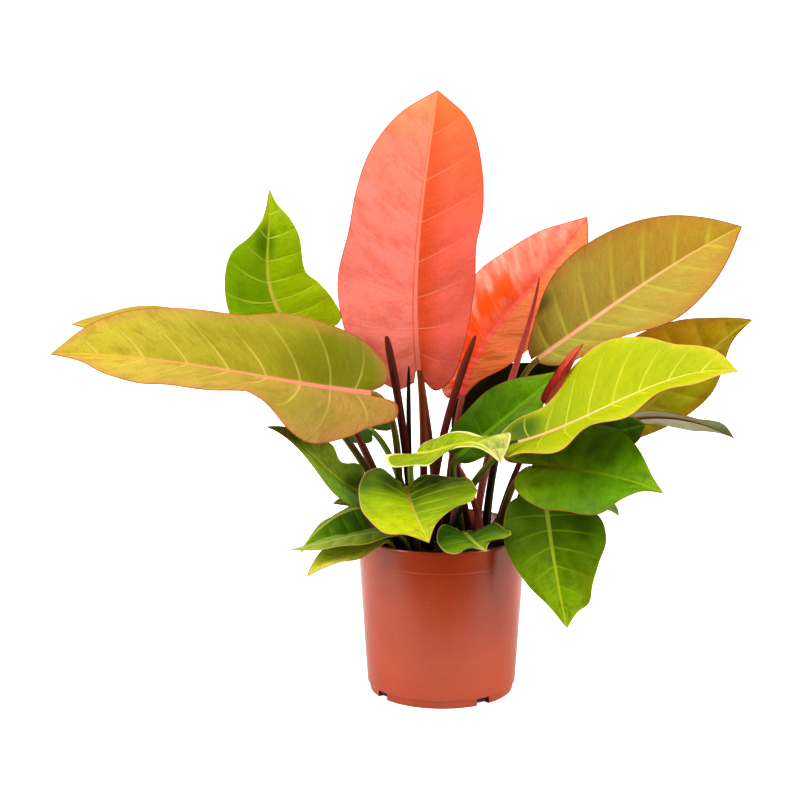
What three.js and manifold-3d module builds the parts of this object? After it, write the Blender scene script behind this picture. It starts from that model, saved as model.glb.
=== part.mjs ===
// Potted philodendron of the orange-leaved kind: a nursery pot, its soil, and a
// rosette of heart-based leaves whose colour runs from coral (young) to green (old).
// Units are millimetres. +Z is up, -Y is the front, and the origin is on the pot's
// axis at the surface that it stands on.

import * as THREE from 'three';
import { mergeVertices } from 'three/addons/utils/BufferGeometryUtils.js';
import Module from 'manifold-3d';

const wasm = await Module();
wasm.setup();

// Pot: a 17 cm injection-moulded nursery pot. The band below its rim stands out by a step.
const POT_HEIGHT = 164;
const RIM_RADIUS = 85;
const RIM_BAND = 22.5;
const RIM_STEP = 0.9;
const WALL_TOP_RADIUS = 83.2;
const WALL_FOOT_RADIUS = 74.5;
const WALL = 1.6;
const FOOT_RADIUS = 72;
const FOOT_HEIGHT = 8;
const INNER_FOOT_RADIUS = 69.4;
const FLOOR = 2;
const RIM_LIP = 2.2;
const EDGE = 0.6;
const POT_SEGMENTS = 56;

// Drain pockets: four notches in the foot, each roofed inside the pot
const POCKET_ANGLES = [-55.5, 34.5, 124.5, 214.5];
const POCKET_WIDTH = 15;
const POCKET_DEPTH = 14;
const POCKET_HEIGHT = 8;
const POCKET_ROOF = 1.6;
const DRAIN_RADIUS = 3.5;

// Soil
const SOIL_TOP = 147;
const SOIL_LUMP = 1.6;
const SOIL_SEGMENTS = 32;
const SOIL_RINGS = 5;
const ROOT_DEPTH = 12;

// Clearance between solids that touch on the real plant
const GAP = 0.3;
const HOLE_CLEARANCE = 0.4;

// Blades: their thickness, the midrib's half width at the base, the share of it that is
// gone at the tip, its depth below the blade, how much closer the side veins start
// towards the base, and how strongly they curve forwards
const BLADE = 0.9;
const RIB_HALF = 3.2;
const RIB_TAPER = 0.75;
const KEEL = 3.6;
const VEIN_CROWDING = 1.35;
const VEIN_CURVE = 1.2;
// Rows along a blade, and columns on each side of its midrib
const SPACING = { long: [18, 3], large: [14, 3], small: [10, 2] };

// Stalks: flat sides round them, and steps along them
const STALK_SIDES = 6;
const STALK_STEPS = 7;

const material = (colour, roughness) =>
  new THREE.MeshStandardMaterial({ color: colour, roughness, metalness: 0 });

const CORAL = material(0xf0755a, 0.5);
const BRONZE = material(0xb08a3c, 0.5);
const OLIVE = material(0x93802c, 0.5);
const LIME = material(0xb4c21a, 0.4);
const GREEN = material(0x5f8f1c, 0.4);
const DARK_GREEN = material(0x2f5414, 0.4);
const RED = material(0xb8362a, 0.45);
const STALK_GREEN = material(0x7f8a2e, 0.45);
const STALK_RED = material(0x7c3020, 0.45);
const STALK_ORANGE = material(0xa85a2c, 0.45);
const SHEATH = material(0x46150f, 0.6);
const TERRACOTTA = material(0xc5553c, 0.45);
const EARTH = material(0x2a1a12, 0.95);

// One half of a blade, left or right as seen on the upper side with the tip upwards.
// margin: the points that its edge passes through, from the lobe beside the stalk to the
// last one before the tip, each as the distance along the midrib and out from it.
// fold: how far it lifts off the midrib at the base and at the tip, and curl: how far it
// bends on towards the margin, in degrees. wave: the height of the waves at the margin,
// how many there are along the midrib, and the phase of the first.
const side = (margin, { fold = [8, 8], curl = -8, wave = [1.5, 2, 0] } = {}) =>
  ({ margin, fold, curl, wave });

// The margin of a plain egg-shaped half, widest a quarter of the way up the midrib
const egg = (length, width, lobe) => [
  [-lobe / 3, 0.12 * width], [-lobe, 0.35 * width], [-0.3 * lobe, 0.75 * width],
  [0.25 * length, width], [0.5 * length, 0.88 * width], [0.8 * length, 0.45 * width],
];

// Leaves. rib: four points that the midrib passes through, from base to tip, a third
// of its length apart. face: the way the upper side looks at the base and at the tip,
// and turn: the stretch of the length over which it changes. root: where the stalk leaves
// the soil. rise: how straight it leaves it. reach: how far it runs in line with the
// midrib. stalk: its radii at the foot and at the blade.
const LEAVES = [
  {
    name: 'coral_tall', rows: 'large', colour: CORAL, stalkColour: STALK_ORANGE,
    rib: [[-23, 0, 327], [-26, -4, 421], [-18, 5, 511], [-5, 32, 600]],
    face: [[-0.05, -1, 0.1], [0.1, -1, 0.2]],
    left: side([[-12, 6], [-17, 22], [-2, 44], [30, 65], [85, 77], [135, 69], [170, 66],
      [210, 57], [248, 35]],
      { wave: [2, 2.5, 0] }),
    right: side([[-12, 4], [-22, 14], [-14, 29], [6, 41], [50, 53], [95, 58], [131, 57],
      [167, 60], [211, 53], [253, 35]],
      { fold: [10, 10], wave: [2, 2.5, 1] }),
    root: [-18, 2], rise: 60, reach: 50, stalk: [4.6, 2.9],
  },
  {
    name: 'coral_leaning', rows: 'large', colour: CORAL, stalkColour: STALK_RED,
    rib: [[20, 25, 296], [53, 60, 355], [103, 96, 404], [150, 126, 461]],
    face: [[-0.3, -0.9, 0.2], [-0.2, -0.9, 0.3]],
    left: side([[-3, 3], [-5, 15], [12, 26], [54, 40], [115, 52], [146, 48], [195, 32], [218, 16]],
      { fold: [6, 6], wave: [2, 2.5, 1] }),
    right: side([[0, 4], [16, 13], [42, 34], [65, 41], [106, 43], [155, 37], [192, 26], [213, 15]],
      { fold: [8, 12], curl: 6 }),
    root: [4, 27], rise: 50, reach: 40, stalk: [4.4, 2.9],
  },
  {
    name: 'bronze_right', rows: 'large', colour: BRONZE, stalkColour: STALK_GREEN,
    rib: [[96, 32, 332], [161, 35, 379], [229, 44, 424], [300, 60, 461]],
    face: [[-0.2, -0.9, 0.1], [-0.1, -0.9, 0.35]],
    left: side([[-6, 3], [-3, 13], [10, 25], [50, 54], [80, 64], [112, 65], [145, 60], [182, 47], [213, 27]],
      { fold: [4, 4], curl: -4 }),
    right: side([[-2, 4], [5, 13], [18, 22], [55, 30], [80, 36], [116, 51], [155, 54], [180, 48], [213, 27]],
      { fold: [22, 26], curl: 8, wave: [2.5, 2.6, 2] }),
    root: [44, 14], rise: 70, reach: 40, stalk: [4.6, 2.9],
  },
  {
    name: 'olive_back_right', rows: 'large', colour: OLIVE, stalkColour: STALK_GREEN,
    rib: [[173, 80, 245], [225, 92, 281], [276, 104, 324], [321, 112, 356]],
    face: [[-0.2, -0.8, 0.5], [-0.1, -0.8, 0.5]],
    left: side([[-6, 4], [-8, 14], [8, 38], [30, 58], [60, 68], [93, 63], [131, 46], [159, 24]]),
    right: side([[-6, 4], [-4, 12], [31, 27], [73, 36], [103, 36], [125, 27], [156, 8]]),
    root: [58, 16], rise: 45, reach: 35, stalk: [4.4, 2.9],
  },
  {
    name: 'lime_right', rows: 'long', colour: LIME, stalkColour: STALK_GREEN,
    rib: [[74, -36, 262], [144, -62, 297], [211, -86, 334], [278, -104, 348]],
    face: [[0, -0.5, 0.87], [0, -0.45, 0.9]],
    left: side([[-8, 5], [-19, 13], [-1, 27], [33, 33], [52, 46], [69, 64], [110, 73], [149, 61],
      [176, 41], [211, 25]],
      { fold: [18, 18], wave: [3, 1.7, 2.7] }),
    right: side([[-9, 5], [-22, 14], [-16, 30], [4, 43], [40, 52], [120, 50], [160, 44],
      [198, 34], [219, 16]],
      { fold: [26, 26], wave: [5, 3, 0.4] }),
    root: [4, -12], rise: 40, reach: 40, stalk: [4.4, 2.9],
  },
  {
    name: 'grey_narrow_right', rows: 'small', colour: GREEN, stalkColour: STALK_GREEN,
    rib: [[160, 36, 262], [204, 28, 273], [248, 16, 272], [290, 0, 258]],
    face: [[0, 0.6, 0.8], [0, 0.6, 0.8]],
    left: side([[-4, 3], [17, 14], [52, 22], [88, 36], [108, 20], [124, 8]], { wave: [1.5, 2, 0] }),
    right: side([[-4, 3], [8, 11], [46, 14], [80, 9], [105, 9], [122, 19]], { wave: [1.5, 2, 1] }),
    root: [63, 3], rise: 40, reach: 30, stalk: [3.8, 2.6],
  },
  {
    name: 'green_centre', rows: 'small', colour: GREEN, stalkColour: STALK_GREEN,
    rib: [[16, -8, 242], [49, -4, 268], [84, 4, 296], [122, 16, 324]],
    face: [[-0.3, -0.9, 0.2], [-0.3, -0.9, 0.3]],
    left: side([[-6, 4], [-5, 13], [10, 25], [33, 30], [60, 33], [86, 27], [117, 10]]),
    right: side([[-6, 4], [3, 12], [26, 19], [56, 27], [92, 18], [109, 7]]),
    root: [22, 5], rise: 40, reach: 20, stalk: [4, 3],
  },
  {
    name: 'dark_centre', rows: 'small', colour: DARK_GREEN, stalkColour: STALK_GREEN,
    rib: [[23, 50, 248], [55, 58, 271], [87, 66, 292], [121, 74, 316]],
    face: [[-0.3, -0.8, 0.5], [-0.3, -0.8, 0.5]],
    left: side([[-3, 4], [-5, 13], [6, 26], [32, 42], [64, 42], [100, 22]]),
    right: side(egg(125, 32, 10)),
    root: [30, 24], rise: 40, reach: 25, stalk: [4, 3],
  },
  {
    name: 'red_furled', rows: 'small', colour: RED, stalkColour: STALK_RED,
    rib: [[104, -13, 296], [116, -11, 316], [127, -7, 335], [139, 0, 354]],
    face: [[-0.8, -0.4, 0.4], [-0.8, -0.4, 0.4]],
    left: side(egg(75, 11, 2), { fold: [35, 35], curl: 40, wave: [0, 2, 0] }),
    right: side(egg(75, 11, 2), { fold: [35, 35], curl: 40, wave: [0, 2, 0] }),
    root: [52, 3], rise: 50, reach: 25, stalk: [3.6, 2.2],
  },
  {
    name: 'green_right', rows: 'large', colour: GREEN, stalkColour: STALK_GREEN,
    rib: [[87, -46, 240], [129, -74, 244], [170, -98, 242], [209, -116, 232]],
    face: [[0.1, -0.7, 0.7], [0.2, -0.75, 0.6]],
    left: side([[-9, 4], [-28, 5], [-36, 10], [-24, 15], [4, 21], [28, 28], [36, 44], [50, 55],
      [75, 52], [100, 37], [127, 11]],
      { wave: [2, 2, 0] }),
    right: side([[-5, 5], [-12, 13], [-7, 27], [8, 41], [35, 51], [75, 52], [98, 44], [109, 25], [124, 7]],
      { wave: [2, 2.5, 1] }),
    root: [54, -12], rise: 30, reach: 25, stalk: [4.4, 2.9],
  },
  {
    name: 'green_hanging', rows: 'large', colour: GREEN, stalkColour: STALK_GREEN,
    rib: [[100, -48, 211], [105, -72, 173], [112, -84, 132], [121, -86, 88]],
    face: [[0, -0.7, 0.7], [0.1, -1, 0.1]],
    left: side([[-2, 4], [0, 14], [12, 32], [28, 51], [54, 53], [75, 43], [95, 33], [113, 26], [120, 13]],
      { wave: [2, 2.5, 2] }),
    right: side([[-2, 4], [-3, 18], [5, 35], [25, 44], [48, 45], [82, 31], [108, 13]],
      { wave: [2, 2, 0] }),
    root: [62, -28], rise: 40, reach: 25, stalk: [4.4, 2.9],
  },
  {
    name: 'lime_wavy', rows: 'large', colour: LIME, stalkColour: STALK_GREEN,
    rib: [[-25, -50, 255], [3, -56, 262], [30, -66, 269], [55, -78, 252]],
    face: [[0, -0.2, 1], [0, -0.3, 0.95]],
    left: side([[-1, 4], [0, 11], [7, 23], [31, 21], [49, 14], [65, 9], [75, 17], [79, 26], [87, 12]],
      { fold: [4, 50], curl: -6, wave: [1, 1.6, 2.6] }),
    right: side([[-10, 4], [-24, 5], [-31, 10], [-22, 29], [2, 24], [13, 25], [24, 17], [38, 8],
      [55, 8], [80, 4]],
      { fold: [0, 0], curl: -10, wave: [1, 2, 3] }),
    root: [-24, -26], rise: 50, reach: 15, stalk: [3.8, 2.8],
  },
  {
    name: 'lime_front', rows: 'large', colour: LIME, stalkColour: STALK_GREEN,
    rib: [[-35, -50, 220], [-31, -76, 210], [-24, -102, 200], [-14, -122, 185]],
    face: [[0, -0.5, 0.87], [0, -0.6, 0.8]],
    left: side([[-6, 5], [-13, 17], [-4, 40], [12, 60], [34, 66], [58, 57], [59, 36], [68, 15]],
      { fold: [14, 14], wave: [4, 2, 0] }),
    right: side([[-7, 5], [-14, 12], [-27, 24], [-20, 38], [8, 49], [48, 48], [65, 38], [71, 18]],
      { fold: [14, 14] }),
    root: [-37, -24], rise: 40, reach: 12, stalk: [4.2, 3],
  },
  {
    name: 'green_rim', rows: 'small', colour: GREEN, stalkColour: STALK_GREEN,
    rib: [[21, -80, 183], [28, -94, 179], [34, -106, 177], [41, -116, 175]],
    face: [[0, -0.4, 0.9], [0, -0.5, 0.87]],
    left: side([[-2, 4], [8, 17], [0, 32], [12, 37], [38, 33], [37, 22], [29, 16]],
      { fold: [4, 4], wave: [1, 1.5, 2] }),
    right: side([[-9, 4], [-20, 13], [-4, 29], [15, 33], [30, 27], [29, 8]], { wave: [1, 1.5, 0] }),
    root: [20, -36], rise: 18, reach: 12, stalk: [3.6, 2.6],
  },
  {
    name: 'bronze_left', rows: 'long', colour: BRONZE, stalkColour: STALK_GREEN,
    rib: [[-70, -36, 312], [-172, -56, 332], [-272, -68, 351], [-378, -62, 356]],
    face: [[0.1, -0.9, 0.4], [0, -0.62, 0.78]], turn: [0.15, 0.4],
    left: side([[-7, 3], [-26, 8], [-26, 23], [2, 36], [22, 48], [55, 58], [82, 53], [112, 38], [155, 46],
      [197, 43], [229, 51], [252, 44], [283, 15]], { fold: [6, 26], curl: -6, wave: [4, 2.6, 1] }),
    right: side([[-3, 3], [-13, 10], [-15, 24], [-4, 38], [15, 52], [50, 62], [95, 69], [140, 60], [195, 58],
      [235, 51], [278, 32]], { fold: [6, 20], wave: [2, 2.6, 0] }),
    root: [-43, -11], rise: 60, reach: 35, stalk: [4.6, 2.9],
  },
  {
    name: 'olive_back_left', rows: 'small', colour: OLIVE, stalkColour: STALK_GREEN,
    rib: [[-190, 8, 351], [-250, 16, 359], [-310, 22, 365], [-369, 26, 368]],
    face: [[0, -0.5, 0.87], [0, -0.4, 0.9]],
    left: side(egg(182, 30, 12)),
    right: side([[-4, 4], [-12, 12], [-4, 26], [45, 36], [95, 36], [128, 30], [150, 19], [168, 9]]),
    root: [-39, 4], rise: 60, reach: 40, stalk: [4.2, 3],
  },
  {
    name: 'green_upper_left', rows: 'large', colour: GREEN, stalkColour: STALK_RED,
    rib: [[-146, 52, 352], [-172, 56, 399], [-174, 64, 444], [-173, 80, 496]],
    face: [[0.1, -1, 0.2], [0.2, -1, 0.2]],
    left: side([[-8, 4], [-8, 18], [12, 34], [38, 46], [62, 45], [88, 37], [104, 20], [122, 8]]),
    right: side([[-8, 4], [-16, 20], [-18, 44], [0, 51], [44, 48], [68, 38], [108, 31], [125, 21], [140, 7]]),
    root: [-42, 17], rise: 50, reach: 40, stalk: [4.6, 2.9],
  },
  {
    name: 'green_folded_left', rows: 'large', colour: GREEN, stalkColour: STALK_GREEN,
    rib: [[-69, -26, 208], [-101, -44, 226], [-134, -58, 261], [-171, -68, 286]],
    face: [[0.3, -0.5, 0.8], [0.4, -0.5, 0.7]],
    left: side([[-4, 4], [4, 24], [25, 38], [50, 37], [75, 29], [100, 13]], { fold: [24, 24] }),
    right: side([[-4, 4], [9, 22], [27, 28], [50, 18], [71, 23], [107, 12]],
      { fold: [24, 24], wave: [3, 2.5, 0] }),
    root: [-49, -20], rise: 25, reach: 15, stalk: [4, 3],
  },
  {
    name: 'green_left_low', rows: 'small', colour: GREEN, stalkColour: STALK_GREEN,
    rib: [[-70, -12, 189], [-93, -24, 190], [-119, -38, 177], [-140, -48, 154]],
    face: [[-0.1, -0.7, 0.6], [-0.3, -0.7, 0.6]],
    left: side([[-3, 4], [0, 14], [24, 31], [45, 29], [71, 15]]),
    right: side([[-3, 4], [4, 11], [27, 14], [51, 13], [75, 7]], { fold: [-45, -45] }),
    root: [-51, -7], rise: 20, reach: 12, stalk: [4, 2.5],
  },
  {
    name: 'green_left_rim', rows: 'small', colour: GREEN, stalkColour: STALK_GREEN,
    rib: [[-46, -54, 176], [-80, -68, 178], [-114, -82, 174], [-148, -94, 170]],
    face: [[0, -0.2, 1], [0, -0.2, 1]],
    left: side([[-3, 3], [6, 12], [26, 20], [54, 20], [82, 15]]),
    right: side(egg(110, 20, 5), { fold: [-14, -14] }),
    root: [-31, -38], rise: 15, reach: 10, stalk: [3.8, 2.4],
  },
  {
    name: 'lime_left_rim', rows: 'small', colour: LIME, stalkColour: STALK_GREEN,
    rib: [[-59, -57, 168.5], [-89, -74, 162], [-113, -90, 157], [-132, -100, 144]],
    face: [[-0.2, -0.5, 0.87], [-0.4, -0.5, 0.7]],
    left: side([[-4, 3], [12, 9], [45, 13], [72, 7]], { fold: [6, 6] }),
    right: side([[-4, 3], [8, 10], [31, 12], [57, 16], [76, 8]], { fold: [6, 6] }),
    root: [-46, -34], rise: 15, reach: 10, stalk: [3.8, 2.4],
  },
  {
    name: 'green_left_small', rows: 'small', colour: GREEN, stalkColour: STALK_GREEN,
    rib: [[-80, 14, 184], [-90, 10, 189], [-100, 4, 191], [-109, -1, 191]],
    face: [[0, -0.5, 0.87], [0, -0.5, 0.87]],
    left: side(egg(34, 9, 2), { wave: [0.5, 2, 0] }),
    right: side(egg(34, 9, 2), { wave: [0.5, 2, 0] }),
    root: [-52, 6], rise: 15, reach: 8, stalk: [3, 1.7],
  },
  {
    name: 'dark_right', rows: 'small', colour: DARK_GREEN, stalkColour: STALK_GREEN,
    rib: [[104, -17, 242], [136, -15, 256], [169, -12, 266], [202, -9, 274]],
    face: [[0, -0.9, 0.4], [0, -0.9, 0.4]],
    left: side(egg(115, 24, 6)),
    right: side(egg(115, 30, 8)),
    root: [69, -6], rise: 40, reach: 30, stalk: [3.6, 2.6],
  },
  {
    name: 'green_back_left', rows: 'small', colour: GREEN, stalkColour: STALK_GREEN,
    rib: [[-70, 66, 250], [-110, 98, 272], [-150, 132, 286], [-190, 168, 285]],
    face: [[0, -0.4, 0.9], [0, 0.1, 1]],
    left: side(egg(165, 38, 12)),
    right: side(egg(165, 38, 12)),
    root: [-28, 24], rise: 40, reach: 30, stalk: [4.2, 3],
  },
  {
    name: 'green_back_right', rows: 'small', colour: GREEN, stalkColour: STALK_GREEN,
    rib: [[104, 56, 190], [134, 62, 190], [160, 58, 180], [181, 44, 166]],
    face: [[0.1, -0.3, 0.95], [0.6, -0.2, 0.7]],
    left: side(egg(95, 28, 8)),
    right: side(egg(95, 28, 8)),
    root: [46, 30], rise: 30, reach: 25, stalk: [4, 3],
  },
  {
    name: 'green_back_centre', rows: 'small', colour: GREEN, stalkColour: STALK_RED,
    rib: [[-22, 46, 318], [-24, 78, 345], [-22, 112, 360], [-18, 150, 360]],
    face: [[0, -0.6, 0.8], [0, 0, 1]],
    left: side(egg(120, 34, 10)),
    right: side(egg(120, 34, 10)),
    root: [-3, 14], rise: 70, reach: 30, stalk: [4.2, 3],
  },
];

// Stalks without a blade: the rolled new leaf, and the dry sheaths of old leaves.
// path: four points, the first in the soil. girth: radius at the foot and at the thickest.
const SPEARS = [
  { name: 'new_leaf_spear', colour: RED, girth: [3.6, 5.6], steps: 16,
    path: [[35, 6, 135], [46, 12, 232], [74, 21, 328], [96, 23, 416]] },
  { name: 'sheath_left', colour: SHEATH, girth: [5, 4.2], steps: 9,
    path: [[-26, -14, 135], [-33, -17, 220], [-42, -18, 292], [-55, -18, 365]] },
  { name: 'sheath_centre', colour: SHEATH, girth: [3.4, 2.6], steps: 8,
    path: [[-28, -2, 135], [-31, -5, 202], [-33, -7, 268], [-33, -8, 333]] },
  { name: 'sheath_right', colour: SHEATH, girth: [4.8, 4], steps: 9,
    path: [[-13, -13, 135], [-8, -15, 215], [8, -16, 292], [32, -16, 365]] },
  { name: 'sheath_front', colour: RED, girth: [4.2, 3.6], steps: 7,
    path: [[41, -20, 135], [38, -30, 172], [29, -35, 208], [15, -38, 242]] },
];

const radians = THREE.MathUtils.degToRad;
const vector = (point) => new THREE.Vector3(...point);

// A cubic curve through four points that lie a third of its length apart
function curveThrough(points) {
  const [start, third, twoThirds, end] = points.map(vector);
  const handle = (near, first, second, far) => near.clone().multiplyScalar(-5 / 6)
    .addScaledVector(first, 3).addScaledVector(second, -1.5).addScaledVector(far, 1 / 3);
  return new THREE.CubicBezierCurve3(
    start,
    handle(start, third, twoThirds, end),
    handle(end, twoThirds, third, start),
    end,
  );
}

// A geometry with shared corners only, as a closed solid for cutting
function solidOf(geometry) {
  const bare = geometry.clone();
  bare.deleteAttribute('normal');
  bare.deleteAttribute('uv');
  const merged = mergeVertices(bare, 1e-4);
  return new wasm.Manifold(new wasm.Mesh({
    numProp: 3,
    vertProperties: new Float32Array(merged.attributes.position.array),
    triVerts: new Uint32Array(merged.index.array),
  }));
}

function geometryOf(solid) {
  const cut = solid.getMesh();
  const geometry = new THREE.BufferGeometry();
  geometry.setAttribute('position', new THREE.BufferAttribute(cut.vertProperties, 3));
  geometry.setIndex(new THREE.BufferAttribute(cut.triVerts, 1));
  return geometry;
}

// A tapered round stalk: a cylinder bent along a curve, thick as radiusAt(0..1) says
function stalk(curve, radiusAt, sides, steps) {
  const geometry = new THREE.CylinderGeometry(1, 1, 1, sides, steps);
  const frames = curve.computeFrenetFrames(steps, false);
  const centres = curve.getSpacedPoints(steps);
  const position = geometry.attributes.position;
  for (let i = 0; i < position.count; i += 1) {
    const step = Math.round((position.getY(i) + 0.5) * steps);
    const radius = radiusAt(step / steps);
    const point = centres[step].clone()
      .addScaledVector(frames.normals[step], position.getX(i) * radius)
      .addScaledVector(frames.binormals[step], -position.getZ(i) * radius);
    position.setXYZ(i, point.x, point.y, point.z);
  }
  return geometry;
}

// The wave of a half's margin, from -1 to 1, at a share of the midrib's length
const waveAt = ({ wave: [, count, start] }, u) => Math.sin(2 * Math.PI * count * u + start);

// The line of a half's margin, flat: x along the midrib and y out from it
function marginLine(half, length) {
  const points = [...half.margin, [length, 0]].map(([along, out]) => new THREE.Vector3(along, out, 0));
  return new THREE.CatmullRomCurve3(points, false, 'centripetal');
}

// A point of the blade's middle sheet, and the way its upper side looks there
function sheetAt(leaf, half, along, out) {
  const u = THREE.MathUtils.clamp(along / leaf.length, 0, 1);
  const tangent = leaf.curve.getTangentAt(u);
  const point = leaf.curve.getPointAt(u).addScaledVector(tangent, Math.min(along, 0));
  const [turnStart, turnEnd] = leaf.turn ?? [0, 1];
  const progress = THREE.MathUtils.clamp((u - turnStart) / (turnEnd - turnStart), 0, 1);
  const up = vector(leaf.face[0]).lerp(vector(leaf.face[1]), progress);
  up.addScaledVector(tangent, -up.dot(tangent)).normalize();
  const outward = tangent.clone().cross(up).multiplyScalar(half === leaf.right ? 1 : -1);

  const fold = radians(THREE.MathUtils.lerp(half.fold[0], half.fold[1], progress));
  const perMillimetre = radians(half.curl) / half.width;
  const bend = fold + perMillimetre * out;
  point.addScaledVector(outward, (Math.sin(bend) - Math.sin(fold)) / perMillimetre);
  point.addScaledVector(up, (Math.cos(fold) - Math.cos(bend)) / perMillimetre);

  const normal = up.multiplyScalar(Math.cos(bend)).addScaledVector(outward, -Math.sin(bend));
  const wave = half.wave[0] * (out / half.width) ** 2 * waveAt(half, u);
  return { point: point.addScaledVector(normal, wave), normal };
}

// A blade: rows follow the side veins from the midrib to the margin, on both faces,
// and the midrib stands out below as a keel that fades towards the tip
function blade(leaf) {
  const [rows, halfColumns] = SPACING[leaf.rows];
  const steps = [];
  for (let j = halfColumns; j >= 0; j -= 1) steps.push([leaf.left, j / halfColumns]);
  steps.push([leaf.right, null]);
  for (let j = 0; j <= halfColumns; j += 1) steps.push([leaf.right, j / halfColumns]);

  const vertices = [];
  const columns = steps.length;
  for (let i = 0; i < rows; i += 1) {
    const turn = i / rows;
    const ribAlong = leaf.length * turn ** VEIN_CROWDING;
    for (const [half, share] of steps) {
      const margin = half.line.getPointAt(turn);
      const ribHalf = Math.min(RIB_HALF * (1 - RIB_TAPER * turn), 0.8 * margin.y);
      const along = ribAlong + (margin.x - ribAlong) * (share ?? 0) ** VEIN_CURVE;
      const out = share === null ? 0 : ribHalf + (margin.y - ribHalf) * share;
      const { point, normal } = sheetAt(leaf, half, along, out);
      const keel = share === null ? KEEL * (1 - turn) ** 0.8 : 0;
      vertices.push(point.clone().addScaledVector(normal, BLADE / 2));
      vertices.push(point.clone().addScaledVector(normal, -BLADE / 2 - keel));
    }
  }
  const tip = sheetAt(leaf, leaf.right, leaf.length, 0);
  vertices.push(tip.point.clone().addScaledVector(tip.normal, BLADE / 2));
  vertices.push(tip.point.clone().addScaledVector(tip.normal, -BLADE / 2));

  const top = (i, j) => (i < rows ? 2 * (i * columns + j) : vertices.length - 2);
  const faces = [];
  const face = (a, b, c) => {
    if (a !== b && b !== c && c !== a) faces.push(a, b, c);
  };
  for (let i = 0; i < rows; i += 1) {
    for (let j = 0; j < columns - 1; j += 1) {
      const [a, b, c, d] = [top(i, j), top(i, j + 1), top(i + 1, j + 1), top(i + 1, j)];
      face(a, b, c);
      face(a, c, d);
      face(a + 1, c + 1, b + 1);
      face(a + 1, d + 1, c + 1);
    }
    for (const [j, left] of [[0, true], [columns - 1, false]]) {
      const [near, far] = left ? [top(i + 1, j), top(i, j)] : [top(i, j), top(i + 1, j)];
      face(near, near + 1, far + 1);
      face(near, far + 1, far);
    }
  }
  for (let j = 0; j < columns - 1; j += 1) {
    const [a, b] = [top(0, j), top(0, j + 1)];
    face(a, a + 1, b + 1);
    face(a, b + 1, b);
  }

  const geometry = new THREE.BufferGeometry();
  geometry.setAttribute('position', new THREE.Float32BufferAttribute(
    vertices.flatMap((point) => point.toArray()), 3));
  geometry.setIndex(faces);
  return geometry;
}

// The stalk's line, from its foot in the soil to the underside of the midrib's base
function stalkCurve(leaf, sink) {
  const base = sheetAt(leaf, leaf.right, 0, 0);
  const inLine = leaf.curve.getTangentAt(0);
  const end = base.point.addScaledVector(base.normal, -KEEL / 2)
    .addScaledVector(inLine, -GAP);
  const foot = new THREE.Vector3(...leaf.root, SOIL_TOP - ROOT_DEPTH - sink);
  return new THREE.CubicBezierCurve3(
    foot,
    foot.clone().add(new THREE.Vector3(0, 0, leaf.rise)),
    end.clone().addScaledVector(inLine, -leaf.reach),
    end,
  );
}

function stalkGeometry(leaf, sink = 0, extra = 0) {
  const [thick, thin] = leaf.stalk;
  return stalk(stalkCurve(leaf, sink), (u) => thick + (thin - thick) * u + extra,
    STALK_SIDES, STALK_STEPS);
}

// A spear swells a little above its foot and closes to a blunt point
function spearGeometry(spear, sink = 0, extra = 0) {
  const path = spear.path.map((point, i) => (i ? point : [point[0], point[1], point[2] - sink]));
  const [foot, thickest] = spear.girth;
  const radiusAt = (u) => {
    const body = foot + (thickest - foot) * Math.min(2 * u, 1);
    return body * Math.sqrt(1 - (0.995 * u) ** 4) + extra;
  };
  return stalk(curveThrough(path), radiusAt, STALK_SIDES, spear.steps);
}

const upright = (geometry) => geometry.rotateX(Math.PI / 2);
const innerWall = (z) => THREE.MathUtils.mapLinear(
  z, FOOT_HEIGHT, POT_HEIGHT - RIM_BAND, WALL_FOOT_RADIUS, WALL_TOP_RADIUS) - WALL;

function lathe(profile, segments) {
  const points = profile.map(([radius, z]) => new THREE.Vector2(radius, z));
  return upright(new THREE.LatheGeometry(points, segments));
}

// A box that reaches in from the foot's outside, turned to a drain pocket's place
function pocketBox(angle, width, inwards, height, bottom) {
  const outside = WALL_FOOT_RADIUS + 2;
  const depth = outside - (FOOT_RADIUS - inwards);
  const box = new THREE.BoxGeometry(width, depth, height);
  box.translate(0, depth / 2 - outside, bottom + height / 2);
  return solidOf(box.rotateZ(radians(angle)));
}

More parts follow.
